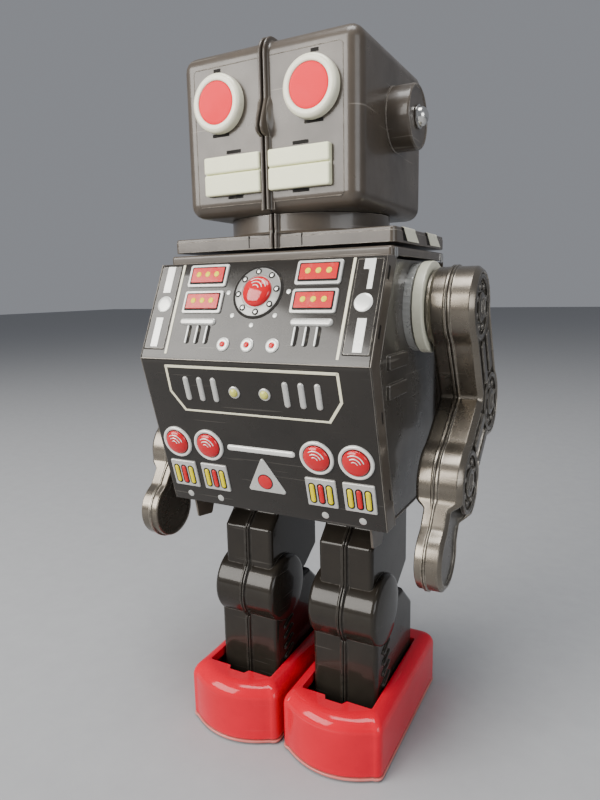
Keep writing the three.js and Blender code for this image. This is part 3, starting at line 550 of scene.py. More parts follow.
PLASTIC = moulded("gear_plastic", (0.028, 0.028, 0.029), (0.04, 0.04, 0.041), rough=(0.35, 0.5), grain=0.15)
JACKET = moulded("cell_jacket", (0.035, 0.12, 0.30), (0.045, 0.14, 0.34), rough=(0.2, 0.3), coat=0.5,
                 metal=0.3)
PAPER = moulded("floor_paper", (0.34, 0.345, 0.355), (0.325, 0.33, 0.34), rough=(0.75, 0.9), grain=0.05,
                stain_share=0.0)
BRIGHT = bare_metal("bright_tin", (0.72, 0.71, 0.68), (0.62, 0.61, 0.58), rough=(0.14, 0.24), strength=0.03)
STEEL = bare_metal("plated_steel", (0.52, 0.52, 0.51), (0.42, 0.42, 0.41))
CAN = bare_metal("motor_can", (0.55, 0.55, 0.54), (0.47, 0.47, 0.46), brush=(30, 1, 1))
BRASS = bare_metal("brass", (0.62, 0.45, 0.18), (0.52, 0.36, 0.13))


# ------------------------------------------------------------------ head
# The rolled flange at the middle seam, then the sheet beside the nose, which swells up to meet it.
# Both are (x, outwards), and the second adds its share of the nose's height.
SEAM_PROFILE = [
    (SEAM_NEAR, -0.6), (SEAM_NEAR, 1.55), (0.62, 1.85), (0.9, 2.0), (1.2, 2.0), (1.48, 1.85),
    (SEAM_FAR, 1.5), (SEAM_FAR, 0.6), (1.85, 0.25), (2.3, 0.05), (3.0, -0.3),
]
NOSE_PROFILE = [
    (1.2, -1.2, 0.0), (1.2, -0.3, 0.96), (1.8, -0.3, 0.90), (2.3, -0.3, 0.66), (2.8, -0.3, 0.38),
    (3.4, -0.3, 0.14), (4.0, -0.4, 0.02), (4.0, -1.2, 0.0),
]


def cut_at_seam(bm):
    """Keeps what lies beyond the near face of the middle seam."""
    everything = bm.verts[:] + bm.edges[:] + bm.faces[:]
    bmesh.ops.bisect_plane(bm, geom=everything, plane_co=(SEAM_NEAR, 0, 0), plane_no=(-1, 0, 0),
                           clear_outer=True)


def head_seam():
    """Up the face, over the top and down the back, with the nose pressed into it."""
    nose = [(257.7, 0), (258.6, 2.2), (259.6, 3.2), (261.2, 3.6), (264, 2.7), (267.5, 1.3), (270.6, 0.15),
            (271.6, 0)]
    face = [(z, 0) for z in (HEAD_BOTTOM + 1, 236, 244, 252)] + nose + [(277, 0), (283, 0)]
    path = [((-HEAD_Y, z), (-1, 0), reach) for z, reach in face]
    r = HEAD_EDGE
    for y, start in ((r - HEAD_Y, 180), (HEAD_Y - r, 90)):
        for oy, oz in arc(0, 0, 1, start, start - 90):
            path.append(((y + r * oy, HEAD_TOP - r + r * oz), (oy, oz), 0))
    path.append(((HEAD_Y, HEAD_BOTTOM + 1), (1, 0), 0))
    return path


def build_head(side):
    bm = bmesh.new()
    bmesh.ops.create_cube(bm, size=1)
    bmesh.ops.scale(bm, verts=bm.verts[:], vec=(2 * HEAD_X, 2 * HEAD_Y, HEAD_TOP - HEAD_BOTTOM))
    bmesh.ops.translate(bm, verts=bm.verts[:], vec=(0, 0, (HEAD_BOTTOM + HEAD_TOP) / 2))
    bmesh.ops.bevel(bm, geom=bm.edges[:], offset=HEAD_EDGE, segments=5, profile=0.5, affect="EDGES")
    cut_at_seam(bm)
    piece("head_half", bm, BLACK, side, ["head_shell"], thick=SHEET, recalc=False)
    bm = bmesh.new()
    rail(bm, head_seam(), SEAM_PROFILE)
    swell = []
    for z in range(257, 273):
        share = math.sin(math.pi * (z - NOSE_LOW) / NOSE_HEIGHT) ** 1.2
        swell.append(((-HEAD_Y, z), (-1, 0), NOSE_SWELL * share))
    rail(bm, swell, NOSE_PROFILE)
    piece("head_seam", bm, BLACK, side)
    # A line pressed round the face, and the slots that the eye and mouth tabs pass through.
    bm = bmesh.new()
    line = [(2.4, 286.0), (31.0, 286.0), (32.0, 285.0), (32.0, 235.4), (31.0, 234.4), (2.4, 234.4)]
    tube(bm, [(x, 0.10 - HEAD_Y, z) for x, z in line], 0.2)
    piece("face_line", bm, BLACK, side)
    bm = bmesh.new()
    for x0, x1, z in ((16.4, 24.2, 261.1), (19.4, 22.6, 284.6), (11.4, 18.0, 254.4), (11.0, 18.0, 237.5)):
        plate(bm, along_front(0, -HEAD_Y, 0), x0, x1, z - 0.65, z + 0.65, 0.12, 0.05, 0.2, 0.2)
    piece("face_slots", bm, PRINT_DARK, side)


def build_eye(side):
    x, _, z = middle("eye_bezel_left")
    to = along_front(x, -HEAD_Y, z)
    outer, inner, proud = 10.8, 7.85, 3.8
    profile = [(outer, -0.2), (outer, 2.3)] + arc(outer - 1.5, 2.3, 1.5, 0, 90)
    profile += [(inner + 0.55, proud), (inner + 0.15, proud - 0.2), (inner, proud - 0.6), (inner, -0.2)]
    bm = bmesh.new()
    lathe(bm, to, [*profile, profile[0]], 72)
    piece("eye_ring", bm, BEZEL, side, ["eye_bezel"])
    bm = bmesh.new()
    lathe(bm, to, [(0, 0.2), (7.8, 0.2), (7.8, 3.2), (7.55, 3.45), (6.9, 3.55), (3.5, 3.65), (0, 3.7)], 64)
    piece("eye_disc", bm, LENS, side, ["eye_lens"])


def build_mouth(side):
    near, far, low, groove, top = 1.9, 27.3, 238.2, 246.3, 252.8
    to = along_front(0, -HEAD_Y, 0)
    bm = bmesh.new()
    plate(bm, to, near, far, low, top, 1.3, 0.2, 0.7)
    for z0, z1 in ((low, groove - 0.2), (groove + 0.2, top)):
        stations = [(0.4, 0), (2.0, 0), (2.3, 0.1), (2.5, 0.35), (2.6, 0.8)]
        stack(bm, to, rectangle(near, far, z0, z1), 0.8, stations, steps=4)
    piece("mouth", bm, MOUTH, side, ["mouth_plate"])


def build_ear(side):
    _, x1, y0, y1, z0, z1 = box_mm("ear_cap_left")
    to = along_x(HEAD_X, (y0 + y1) / 2, (z0 + z1) / 2)
    length, r = x1 - HEAD_X, (z1 - z0) / 2
    profile = [(0, -0.2), (r, -0.2), (r, 0.35), (r - 0.35, 0.6), (r - 0.3, 1.0), (r - 0.3, length - 0.9)]
    profile += [(r - 0.45, length - 0.35), (r - 0.8, length), (r - 1.25, length), (r - 1.5, length - 0.3)]
    profile += [(r - 2.2, length - 0.42), (3.2, length - 0.42), (2.2, length - 0.3), (0, length - 0.3)]
    bm = bmesh.new()
    lathe(bm, to, profile, 72)
    piece("ear", bm, BLACK, side, ["ear_cap"])
    bm = bmesh.new()
    knob, base = 4.5, length - 0.4
    foot = [(0, base), (knob - 0.4, base), (knob, base + 0.3), (knob, base + 0.8), (knob - 0.7, base + 1.2)]
    lathe(bm, to, foot + dome(knob - 0.7, base + 1.2, 3.1), 40)
    piece("ear_stud", bm, BRIGHT, side, ["ear_knob"])


# ------------------------------------------------------------------ neck and shoulders
SHOULDER_X, SHOULDER_FRONT, SHOULDER_BACK, SHOULDER_LOW, SHOULDER_TOP = 49.8, -31.6, 34.0, 217.3, 223.0


def stripe(bm, top_span, low_span, grow, behind, lift):
    """A stripe up the end of the shoulder plate, over its rounded edge and a little way along the top."""
    # For the dark copy of a stripe, grow widens it forwards into painted shadow and behind widens it a little
    # at the back.
    low, bend = SHOULDER_LOW + 0.9, 0.8
    high = (top_span[0] - grow, top_span[1] + behind)
    foot = (low_span[0] - grow * 2.2, low_span[1] + behind)
    head = (high[0] - 1.0, high[1] - 1.0)
    edge, over = SHOULDER_X + lift, SHOULDER_TOP + lift
    reach, under, within = SHOULDER_X - 6.0, SHOULDER_TOP - 1.2, SHOULDER_X - 1.2
    section = [(edge, low, foot), (edge, SHOULDER_TOP - 1.0, high)]
    section += [(x, z, high) for x, z in arc(edge - bend, over - bend, bend, 0, 90, 5)[1:]]
    section += [(reach, over, head), (reach, under, head), (within, under, high), (within, low, foot)]
    loft(bm, [[(x, span[end], z) for x, z, span in section] for end in (0, 1)], (True, True))


def build_neck(side):
    """Neck and shoulder plate, pressed as one half, with the cream stripes let into its end."""
    front, bottom, top = SHOULDER_FRONT, SHOULDER_LOW, SHOULDER_TOP
    neck_x, neck_y, neck_top = 34.6, 31.3, HEAD_BOTTOM - 0.2
    bm = bmesh.new()
    plan = rectangle(-SHOULDER_X, SHOULDER_X, front, SHOULDER_BACK)
    stations = [(bottom, 0.3), (bottom + 0.2, 0), (top - 1.4, 0), (top - 1.25, 0.2)]
    stations += [(z, margin + 0.2) for z, margin in rounding(top, 0.6, 1)]
    stack(bm, along_z(), plan, 2.2, stations, steps=6)
    # The neck is turned with a radius of 1 and stretched to an oval.
    neck = [(0, top - 1), (1.045, top - 0.1), (1.02, top + 0.2), (1.004, top + 0.7), (1, top + 1.4)]
    neck += [(1, neck_top), (0, neck_top)]
    lathe(bm, lambda u, v, w: (u * neck_x, v * neck_y, w), neck, 96)
    cut_at_seam(bm)
    bmesh.ops.holes_fill(bm, edges=[e for e in bm.edges if e.is_boundary], sides=0)
    piece("neck_half", bm, BLACK, side, ["neck_shoulder"])
    bm = bmesh.new()
    seam = [((front, z), (-1, 0), 0) for z in (bottom, bottom + 2, top - 0.6)]
    seam += [((front + 0.15, top - 0.1), (-0.7, 0.7), 0), ((-neck_y - 0.1, top + 1.2), (-0.9, 0.35), 0)]
    seam += [((-neck_y, z), (-1, 0), 0) for z in (top + 2, neck_top)]
    rail(bm, seam, [(x, out * 0.75) for x, out in SEAM_PROFILE])
    piece("neck_seam", bm, BLACK, side)
    # A short crease in the front wall, drawn as a dark line of painted shade, and the dark slots that the
    # stripes come up through, widened in front of each stripe into painted shadow.
    slots, stripes = bmesh.new(), bmesh.new()
    tube(slots, [(12.0, front - 0.02, bottom + 0.6), (12.0, front - 0.02, top - 0.4)], 0.22)
    for top_span, low_span in (((-22.0, -9.0), (-18.0, -4.0)), ((8.0, 21.5), (12.5, 27.5))):
        stripe(slots, top_span, low_span, 1.9, 0.6, 0.10)
        stripe(stripes, top_span, low_span, 0.0, 0.0, 0.26)
    # This dark piece is mostly painted shade: the crease line and the shadow in front of each stripe, round the
    # slot edges.
    piece("neck_slots_and_shade", slots, PRINT_DARK, side)
    piece("shoulder_stripes", stripes, CREAM, side, ["shoulder_insert"])


# ------------------------------------------------------------------ torso
def build_cap():
    x0, x1, y0, y1, z0, z1 = box_mm("top_cap")
    bm = bmesh.new()
    stations = [(z0, 0.5), (z0, 0.05), (z0 + 0.4, 0), (z1 - 1.2, 0)] + rounding(z1, 1.0, 1)
    stack(bm, along_z(), rectangle(x0, x1, y0, y1), 1.6, stations)
    piece("top_cap_pressing", bm, BLACK, replaces=["top_cap"])
    # Two tabs curled over near each corner, and the dark gap behind them.
    tabs, gaps = bmesh.new(), bmesh.new()
    for m in (1, -1):
        x = m * (x1 + 0.05)
        for y in (y0 + 3.0, y1 - 4.0):
            for offset, reach in ((-1.0, 4.6), (1.0, 4.0)):
                curl = ((0, 0.6), (m * 0.12, 2), (0, reach))
                tube(tabs, [(x + out, y + offset, z1 - down) for out, down in curl], 0.42, 8)
            stations = [(w, 0) for w in sorted((0.02 * m, 0.1 * m))]
            stack(gaps, along_x(m * x1, y, 0), rectangle(-0.7, 0.7, z1 - 4.8, z1 - 0.5), 0.3, stations)
    piece("cap_tabs", tabs, BRIGHT)
    piece("cap_tab_gaps", gaps, PRINT_DARK)


def build_front_panel():
    bend, corner = 2.2, 0.7
    a, b, c = Vector((PANEL_TOP[0], PANEL_TOP[1] - 0.15)), Vector(CREASE), Vector(PANEL_BOTTOM)
    above, below = b - (b - a).normalized() * bend, b + (c - b).normalized() * bend
    profile = [a.lerp(above, k / 7) for k in range(8)]
    profile += [above.lerp(b, k / 8).lerp(b.lerp(below, k / 8), k / 8) for k in range(1, 8)]
    profile += [below.lerp(c, k / 9) for k in range(10)]
    fold = [(TORSO_X, RETURN_DEPTH), (TORSO_X, RETURN_DEPTH / 2)]
    fold += [(TORSO_X - corner + corner * math.cos(t), corner - corner * math.sin(t)) for t in quarter(5)]
    flat = [(x * (TORSO_X - corner) / 10, 0) for x in range(-9, 10)]
    across = [(-x, back) for x, back in fold] + flat + fold[::-1]
    bm = bmesh.new()
    loft(bm, [[(x, y + back, z) for x, back in across] for y, z in profile], ring_closed=False)
    bmesh.ops.reverse_faces(bm, faces=bm.faces[:])
    piece("front_panel_sheet", bm, PANEL, replaces=["front_panel"], thick=SHEET, recalc=False, sharp=50)
    # The top edge, folded back over the torso.
    bm = bmesh.new()
    y, z = PANEL_TOP
    section = [(y + 0.55, z - 0.9), (y + 0.02, z - 0.9)] + arc(y + 0.62, z - 0.6, 0.6, 180, 90, 5)
    section += [(-33, z), (-33, z - 0.5), (y + 0.8, z - 0.5)]
    loft(bm, [[(x, v, w) for v, w in section] for x in (0.4 - TORSO_X, TORSO_X - 0.4)], (True, True))
    piece("front_panel_lip", bm, BLACK)


# ------------------------------------------------------------------ marks of the front panel
INKS = {
    "cream": ("panel_lines", PRINT_CREAM),
    # The white marks hold the panel's white print and the painted highlight arcs on the lamp domes.
    "white": ("panel_white_marks", WHITE_PRINT_AND_HIGHLIGHT),
    "silver": ("panel_silver_relief", SILVER),
    "grey": ("panel_dial_ring", DIAL),
    "dark": ("panel_dark_marks", PRINT_DARK),
    "red": ("panel_red_marks", PRINT_RED),
    "lamp": ("panel_lamps", LAMP),
    "yellow": ("panel_yellow_marks", PRINT_YELLOW),
    "lime": ("panel_lime_lamps", PRINT_LIME),
    "gloss": ("panel_side_strips", PANEL),
}


def highlight_arcs(ink, to, radius, base, height, lines):
    """Curved white lines over the upper side of a dome, painted highlights of its shine, each of (its radius,
    its thickness).
    """
    for r, thickness in lines:
        rise = base + height * math.sqrt(1 - (r / radius) ** 2) + 0.04
        tube(ink.white, [to(u, v, rise) for u, v in arc(0, 0, r, 15, 125, 12)], thickness)


def draw_line(ink):
    """The cream line round the middle field, across the crease and round the field below it."""
    bar(ink.cream, LOWER, (-38.0, 3.0), (38.0, 3.0), 1.1, 0.14)
    for m in (1, -1):
        bar(ink.cream, UPPER, (m * 38.0, 0.6), (m * 37.7, 39.0), 1.1, 0.14)
        bar(ink.cream, LOWER, (m * 37.8, 2.6), (m * 38.1, 13.9), 1.1, 0.14)
        bar(ink.cream, LOWER, (m * 38.1, 13.9), (m * 32.5, 22.1), 1.1, 0.14, 0.3)
    bar(ink.cream, LOWER, (-32.5, 22.1), (32.5, 22.1), 0.8, 0.12)


def draw_dial(ink):
    """A lamp in a pressed ring with eight bolts, and five dots round it."""
    dial = upper(0, 13.9)
    edge = [(0, -0.2), (10.9, -0.2), (10.9, 0.12), (10.5, 0.3), (9.9, 0.3), (9.8, 0.2), (0, 0.2)]
    lathe(ink.dark, dial, edge, 64)
    ring = [(0, 0), (9.9, 0), (9.9, 0.25), (9.65, 0.45), (7.6, 0.65), (6.9, 0.7), (6.7, 0.5), (0, 0.5)]
    lathe(ink.grey, dial, ring, 64)
    radius, base, height = 6.1, 0.9, 2.1
    lathe(ink.lamp, dial, [(0, 0.3), (6.15, 0.3), (radius, base)] + dome(radius, base, height), 56)
    # White arcs on the lamp: painted highlight.
    highlight_arcs(ink, dial, radius, base, height, ((1.7, 0.2), (3.1, 0.2), (4.5, 0.2)))
    for u, v in around(8, 8.3, 0.15):
        bolt = moved(dial, u, v)
        disc(ink.dark, bolt, 1.3, 0.3, 0.74, 20)
        lathe(ink.white, bolt, [(0, 0.3), (0.7, 0.3), (0.7, 0.8), (0.5, 0.86), (0, 0.86)], 20)
    for u, v in arc(0, 0, 13.4, 180, 360, 4):
        dot = [(0, -0.1), (0.9, -0.1), (0.9, 0.1), (0.75, 0.16), (0, 0.18)]
        lathe(ink.white, moved(dial, u, v), dot, 20)


def draw_windows(ink, m):
    """Two windows with three lights each, and a bar and three slots below them."""
    for s0, s1 in ((1.1, 11.3), (13.0, 23.1)):
        to = upper(m * 24.65, (s0 + s1) / 2)
        h = (s1 - s0) * ROWS / 2
        plate(ink.silver, to, -9.35, 9.35, -h, h, 0.7, 0.35, 1.0)
        plate(ink.dark, to, -8.2, 8.2, 1.1 - h, h - 1.1, 0.82, 0.05, 0.5, -0.4)
        plate(ink.red, to, -7.6, 7.6, 1.9 - h, h - 1.6, 0.98, 0.1, 0.4, -0.4)
        for u in (-4.3, 0, 4.3):
            light = [(0, 0.7), (1.15, 0.7), (1.15, 1.05), (0.8, 1.2), (0, 1.25)]
            lathe(ink.yellow, moved(to, u, 0.4), light, 20)
    pill(ink.silver, upper(m * 25.1, 26.7), -8.6, 8.6, -1.5, 1.5, 0.9)
    for x in (19.5, 24.0, 28.5):
        to = upper(m * x, 32.4)
        pill(ink.dark, to, -1.15, 1.15, -3.9, 3.9, 0.14)
        pill(ink.white, moved(to, -0.55), -0.42, 0.42, -3.7, 3.7, 0.45)


def draw_strip(ink, m):
    """The glossy strip at the side of the upper half, with its white marks. One side's top mark is notched."""
    strip = upper(m * 44.2, 0)
    plate(ink.dark, strip, -5.3, 5.3, -39.5 * ROWS, -0.8, 0.06, 0.03, 0.5, 0.2)
    plate(ink.gloss, strip, -4.9, 4.9, -39.0 * ROWS, -1.2, 0.12, 0.05, 0.5, 0.2)
    top, step, end = -1.2, -5.5 * ROWS, -13.5 * ROWS
    if m > 0:
        notch = [(0.0, step), (0.0, end), (2.0, end), (2.0, top), (-2.2, top), (-2.2, step)]
        stack(ink.white, strip, notch, 0.15, [(-0.1, 0), (0.2, 0), (0.26, 0.06)], steps=2)
    else:
        plate(ink.white, strip, -1.9, 1.9, end, top, 0.26, 0.08, 0.2)
    button = [(0, -0.1), (3.5, -0.1), (3.5, 0.2), (3.2, 0.45), (2.4, 0.55), (0, 0.6)]
    lathe(ink.white, upper(m * 43.9, 18.8), button, 40)
    plate(ink.white, upper(m * 44.5, 0), -1.75, 1.75, -38.2 * ROWS, -25.0 * ROWS, 0.26, 0.08, 0.2)


def draw_lower(ink, m):
    """Bars, a small lamp, domed lamps and printed plates of one side below the crease."""
    for x in (16.0, 22.6, 29.3):
        pill(ink.silver, lower(m * x, 12.3), -1.25, 1.25, -5.2, 5.2, 0.75)
    small = lower(m * 6.8, 12.7)
    lathe(ink.lime, small, [(0, 0), (1.75, 0), (1.75, 0.9), (1.4, 1.35), (0.8, 1.6), (0, 1.7)], 28)
    lathe(ink.silver, small, [(0, -0.1), (2.5, -0.1), (2.45, 0.4), (2.1, 0.65), (1.85, 0.65), (0, 0.5)], 28)
    radius, base, height = 5.35, 0.85, 1.85
    for x in (24.9, 41.0):
        to = lower(m * x, 37.7)
        rim = [(0, -0.2), (7.1, -0.2)] + arc(6.45, 0.35, 0.65, 0, 90, 4)
        lathe(ink.white, to, rim + [(6.1, 0.95), (5.7, 0.6), (0, 0.6)], 56)
        disc(ink.dark, to, 5.75, 0.4, 0.72, 48)
        lathe(ink.lamp, to, [(0, 0.5), (5.4, 0.5), (radius, base)] + dome(radius, base, height), 48)
        # White arcs on each lamp: painted highlight.
        highlight_arcs(ink, to, radius, base, height, ((1.5, 0.15), (2.7, 0.2), (3.9, 0.2)))
    for x in (24.9, 40.8):
        to = lower(m * x, 53.1)
        plate(ink.silver, to, -6.5, 6.5, -6.3, 6.3, 0.75, 0.45, 0.5)
        for u, layer in ((-3.7, ink.yellow), (0, ink.red), (3.7, ink.yellow)):
            place = moved(to, u)
            stack(ink.dark, place, rectangle(-1.55, 1.55, -5.0, 4.3), 1.5, [(0.5, 0), (0.84, 0)], steps=8)
            pill(layer, place, -1.1, 1.1, -4.55, 3.85, 1.3, -0.5)
        dot = [(0, -0.1), (1.5, -0.1), (1.5, 0.12), (1.2, 0.25), (0, 0.3)]
        lathe(ink.silver, lower(m * x, 63.7), dot, 24)


def draw_middle(ink):
    """Three buttons, the long white bar and the triangle with its lamp."""
    for x in (-10.9, 0.0, 10.9):
        to = upper(x, 36.4)
        ring = [(0, -0.1), (2.75, -0.1), (2.75, 0.3), (2.4, 0.6), (1.5, 0.75), (1.2, 0.6), (0, 0.6)]
        lathe(ink.white, to, ring, 32)
        lathe(ink.red, to, [(0, 0.4), (1.15, 0.4), (1.1, 0.85), (0.7, 1.1), (0, 1.2)], 24)
    pill(ink.white, lower(0, 37.6), -15.6, 15.6, -1.3, 1.3, 0.85)
    triangle = [(-9.2, -8.1), (9.2, -8.1), (0, 8.3)]
    slope = [(-0.2, 0), (0.2, 0), (0.45, 0.12), (0.7, 0.5)]
    stack(ink.silver, lower(0, 48.6), triangle, 0.9, slope, steps=4)
    disc(ink.dark, lower(0, 51.6), 3.5, 0.5, 0.78, 32)
    lathe(ink.lamp, lower(0, 51.6), [(0, 0.5), (3.15, 0.5), (3.1, 0.95), (2.2, 1.2), (0, 1.3)], 32)


def build_panel_art():
    ink = SimpleNamespace(**{name: bmesh.new() for name in INKS})
    draw_line(ink)
    draw_dial(ink)
    for m in (1, -1):
        draw_windows(ink, m)
        draw_strip(ink, m)
        draw_lower(ink, m)
    draw_middle(ink)
    for name, (piece_name, material) in INKS.items():
        piece(piece_name, getattr(ink, name), material, sharp=45)


# ------------------------------------------------------------------ sides, back and base
def build_side_panel(side):
    y1, z0, z1 = box_mm("side_panel_left")[3:]
    outer, behind = TORSO_X - 2.2, 1.6
    fold = [PANEL_TOP, CREASE, PANEL_BOTTOM]
    plan = [(PANEL_TOP[0] + behind, z1), (CREASE[0] + behind, CREASE[1]), (PANEL_BOTTOM[0] + behind, z0)]
    plan += [(y1, z0), (y1, z1)]
    bm = bmesh.new()
    stack(bm, along_x(), plan, 0.6, [(outer - SHEET, 0), (outer - 0.12, 0), (outer, 0.12)])
    # Long louvres pressed in the side.
    for z in (176.2, 165.2):
        stack(bm, along_x(outer, 0, z), rectangle(-35.5, -14.5, -5.4, 0.4), 1.4,
              [(-0.2, 0), (0.9, 0), (1.35, 0.2), (1.6, 0.7)])
    piece("side_sheet", bm, SIDE, side, ["side_panel"])
    # The folded side of the front panel, lighter than its face, with rubbed edges.
    bm = bmesh.new()
    strip = [(y + 0.9, z) for y, z in fold] + [(y + RETURN_DEPTH - 0.7, z) for y, z in fold[::-1]]
    stack(bm, along_x(TORSO_X), strip, 0.2, [(-0.1, 0), (0.04, 0), (0.07, 0.05)], steps=2)
    piece("return_face", bm, BLACK, side)
    bm = bmesh.new()
    tube(bm, [(TORSO_X - 0.12, y + 0.24, z) for y, z in fold], 0.2)
    tube(bm, [(TORSO_X - 0.1, y + RETURN_DEPTH - 0.1, z) for y, z in fold], 0.28)
    tube(bm, [(x, CREASE[0] + 0.24, CREASE[1]) for x in (0, TORSO_X - 0.4)], 0.2)
    piece("panel_edges", bm, WORN, side)
    # Tab slots in that folded side, two along each half.
    bm = bmesh.new()
    for half, length, spots, back, u, v in ((UPPER, 43.5, (7.0, 30.5), 3.4, 0.8, 2.6),
                                            (LOWER, 66.6, (20.0, 52.0), 6.4, 0.5, 2.4)):
        start, end = Vector(half[0]), Vector(half[1])
        lean = math.atan2(end.x - start.x, start.y - end.y)
        for s in spots:
            y, z = start.lerp(end, s / length)
            to = moved(along_x(TORSO_X, y + back, z), turn=lean)
            stack(bm, to, rectangle(-u, u, -v, v), 0.2, [(-0.1, 0), (0.12, 0)])
    piece("side_slots", bm, PRINT_DARK, side)


def build_back():
    _, x1, _, y1, z0, z1 = box_mm("back_panel")
    left, right, _, _, _, door_top = box_mm("battery_door")
    gap = 0.45
    half = right + gap
    to = along_back(0, y1, 0)
    # The panel is a frame round the door, with two ribs below it.
    bm = bmesh.new()
    for part in (rectangle(-x1, -half, z0, z1), rectangle(-half, half, door_top + gap, z1),
                 rectangle(-half, half, z0, 141.0), rectangle(half, x1, z0, z1)):
        stack(bm, to, part, 0.3, [(-SHEET, 0), (-0.05, 0), (0, 0.05)])
    for z in (126, 132):
        pill(bm, to, -34, 34, z - 1.4, z + 1.4, 0.7)
    piece("back_sheet", bm, BLACK, replaces=["back_panel"])
    # The slot is at the robot's left, which is -u seen from behind.
    bm = bmesh.new()
    stack(bm, to, rectangle(-42.2, -37.8, 187.4, 198.6), 0.4, [(-0.1, 0), (0.06, 0)])
    piece("switch_slot", bm, PRINT_DARK)
    bm = bmesh.new()
    knob_x0, knob_x1, knob_y0, knob_y1, knob_z0, knob_z1 = box_mm("switch_knob")
    stack(bm, along_back((knob_x0 + knob_x1) / 2, knob_y0, 0), rectangle(-1.8, 1.8, knob_z0, knob_z1), 0.5,
          slab(0, knob_y1 - knob_y0, 0.35))
    piece("switch_button", bm, LENS, replaces=["switch_knob"], body="switch_knob")
    build_door(left, right, 143.4, door_top)


def build_door(left, right, low, high):
    """The battery door: a plate with a raised field, three ribs, a thumb catch and its hinge barrel."""
    bm = bmesh.new()
    to = along_back(0, 34.0, 0)
    stack(bm, to, rectangle(left, right, low + 0.3, high), 1.2, slab(-0.95, 0.0, 0.25))
    plate(bm, to, -24, 24, 150, 192, 0.5, 0.4, 3.0)
    for z in (158, 165, 172):
        pill(bm, to, -18, 18, z - 1.1, z + 1.1, 1.1, 0)
    catch = rectangle(-8, 8, high - 6.2, high - 3.4)
    stack(bm, to, catch, 1.2, [(-0.2, 0), (1.0, 0), (1.4, 0.15), (1.6, 0.5)])
    for x0, x1 in ((left, -10), (-9.2, 9.2), (10, right)):
        barrel = [(0, x0), (0.85, x0), (1.0, x0 + 0.15), (1.0, x1 - 0.15), (0.85, x1), (0, x1)]
        lathe(bm, along_x(0, 33.0, low), barrel, 24)
    piece("battery_door_pressing", bm, BLACK, replaces=["battery_door"], body="battery_door")


def build_base():
    """The floor of the torso: a plate with the leg slots, and folded lips beside the legs."""
    _, x1, y0, y1, _, _ = box_mm("base_plate")
    near, far = LEG_X - 13.6, LEG_X + 13.6
    front, back, z = -22.5, 24.5, PANEL_BOTTOM[1]
    bm = bmesh.new()
    for part in (rectangle(-x1, x1, y0, front), rectangle(-x1, x1, back, y1),
                 rectangle(-x1, -far, front, back), rectangle(-near, near, front, back),
                 rectangle(far, x1, front, back)):
        stack(bm, along_z(0, 0, z), part, 0.06, [(0, 0), (SHEET, 0)], steps=1)
    piece("base_sheet", bm, BLACK, replaces=["base_plate"])
    bm = bmesh.new()
    for m in (1, -1):
        lip = [(-34.5, 100.2), (-24.5, 98.6), (-20, 110.3), (-36.5, 110.3)]
        stack(bm, along_x(m * (LEG_X + THIGH_HALF + 5), 0, 0), lip, 1.2, slab(-0.45, 0.45, 0.15, 2))
    piece("base_lips", bm, BLACK)


# ------------------------------------------------------------------ shoulder rings and arms
def on_rim(to, radius, c, s):
    """A placing on the rim of a disc, in the direction (c, s): u round it, v along its axis, w outwards."""
    return lambda u, v, w: to(c * (radius + w) - s * u, s * (radius + w) + c * u, v)


def build_ring(side):
    """A grey toothed band next to the body and a wider cream band outside it."""
    _, y, z = middle("shoulder_ring_left")
    inner_end, end = box_mm("shoulder_ring_left")[:2]
    r, teeth = 18.4, 44
    to = along_x(0, y, z)
    near, mid = TORSO_X - 2.4, inner_end + 1.7
    bm = bmesh.new()
    band = [(0, near), (r - 0.9, near), (r - 0.7, near + 0.2), (r - 0.7, mid - 0.5), (r - 1.0, mid - 0.3)]
    lathe(bm, to, [*band, (0, mid - 0.3)], 96)
    for c, s in around(teeth, 1):
        tooth = rectangle(-0.38, 0.38, near + 0.3, mid - 0.8)
        stack(bm, on_rim(to, r - 0.7, c, s), tooth, 0.15, [(-0.2, 0), (0.08, 0), (0.14, 0.12)], steps=2)
    piece("shoulder_band", bm, SILVER, side)
    bm = bmesh.new()
    profile = [(0, mid), (r - 1.4, mid), (r - 1.4, mid + 0.2), (r - 0.3, mid + 0.3), (r, mid + 0.6)]
    profile += [(r, end - 0.6), (r - 0.15, end - 0.2), (r - 0.6, end), (r - 2.8, end), (r - 3.2, end - 0.3)]
    profile.append((0, end - 0.3))
    lathe(bm, to, profile, 96)
    piece("shoulder_ratchet", bm, CREAM, side, ["shoulder_ring"])


def arm_distance(y, z):
    """Signed distance to the arm's outline in side view, with soft hollows where discs and links meet."""
    soft = 0.8
    parts = [np.hypot(y - disc_y, z - disc_z) - r for disc_y, disc_z, r in ARM_DISCS]
    for a, b, (front, back) in zip(ARM_DISCS, ARM_DISCS[1:], ARM_LINKS):
        length = math.hypot(b[0] - a[0], b[1] - a[1])
        ty, tz = (b[0] - a[0]) / length, (b[1] - a[1]) / length
        along = (y - a[0]) * ty + (z - a[1]) * tz
        across = (y - a[0]) * tz - (z - a[1]) * ty
        du = np.abs(along - length / 2) - length / 2
        dv = np.abs(across - (front - back) / 2) - (front + back) / 2
        outside = np.hypot(np.maximum(du, 0), np.maximum(dv, 0))
        parts.append(outside + np.minimum(np.maximum(du, dv), 0))
    total = parts[0]
    for part in parts[1:]:
        h = np.clip(0.5 + 0.5 * (total - part) / soft, 0, 1)
        total = part * h + total * (1 - h) - soft * h * (1 - h)
    return total


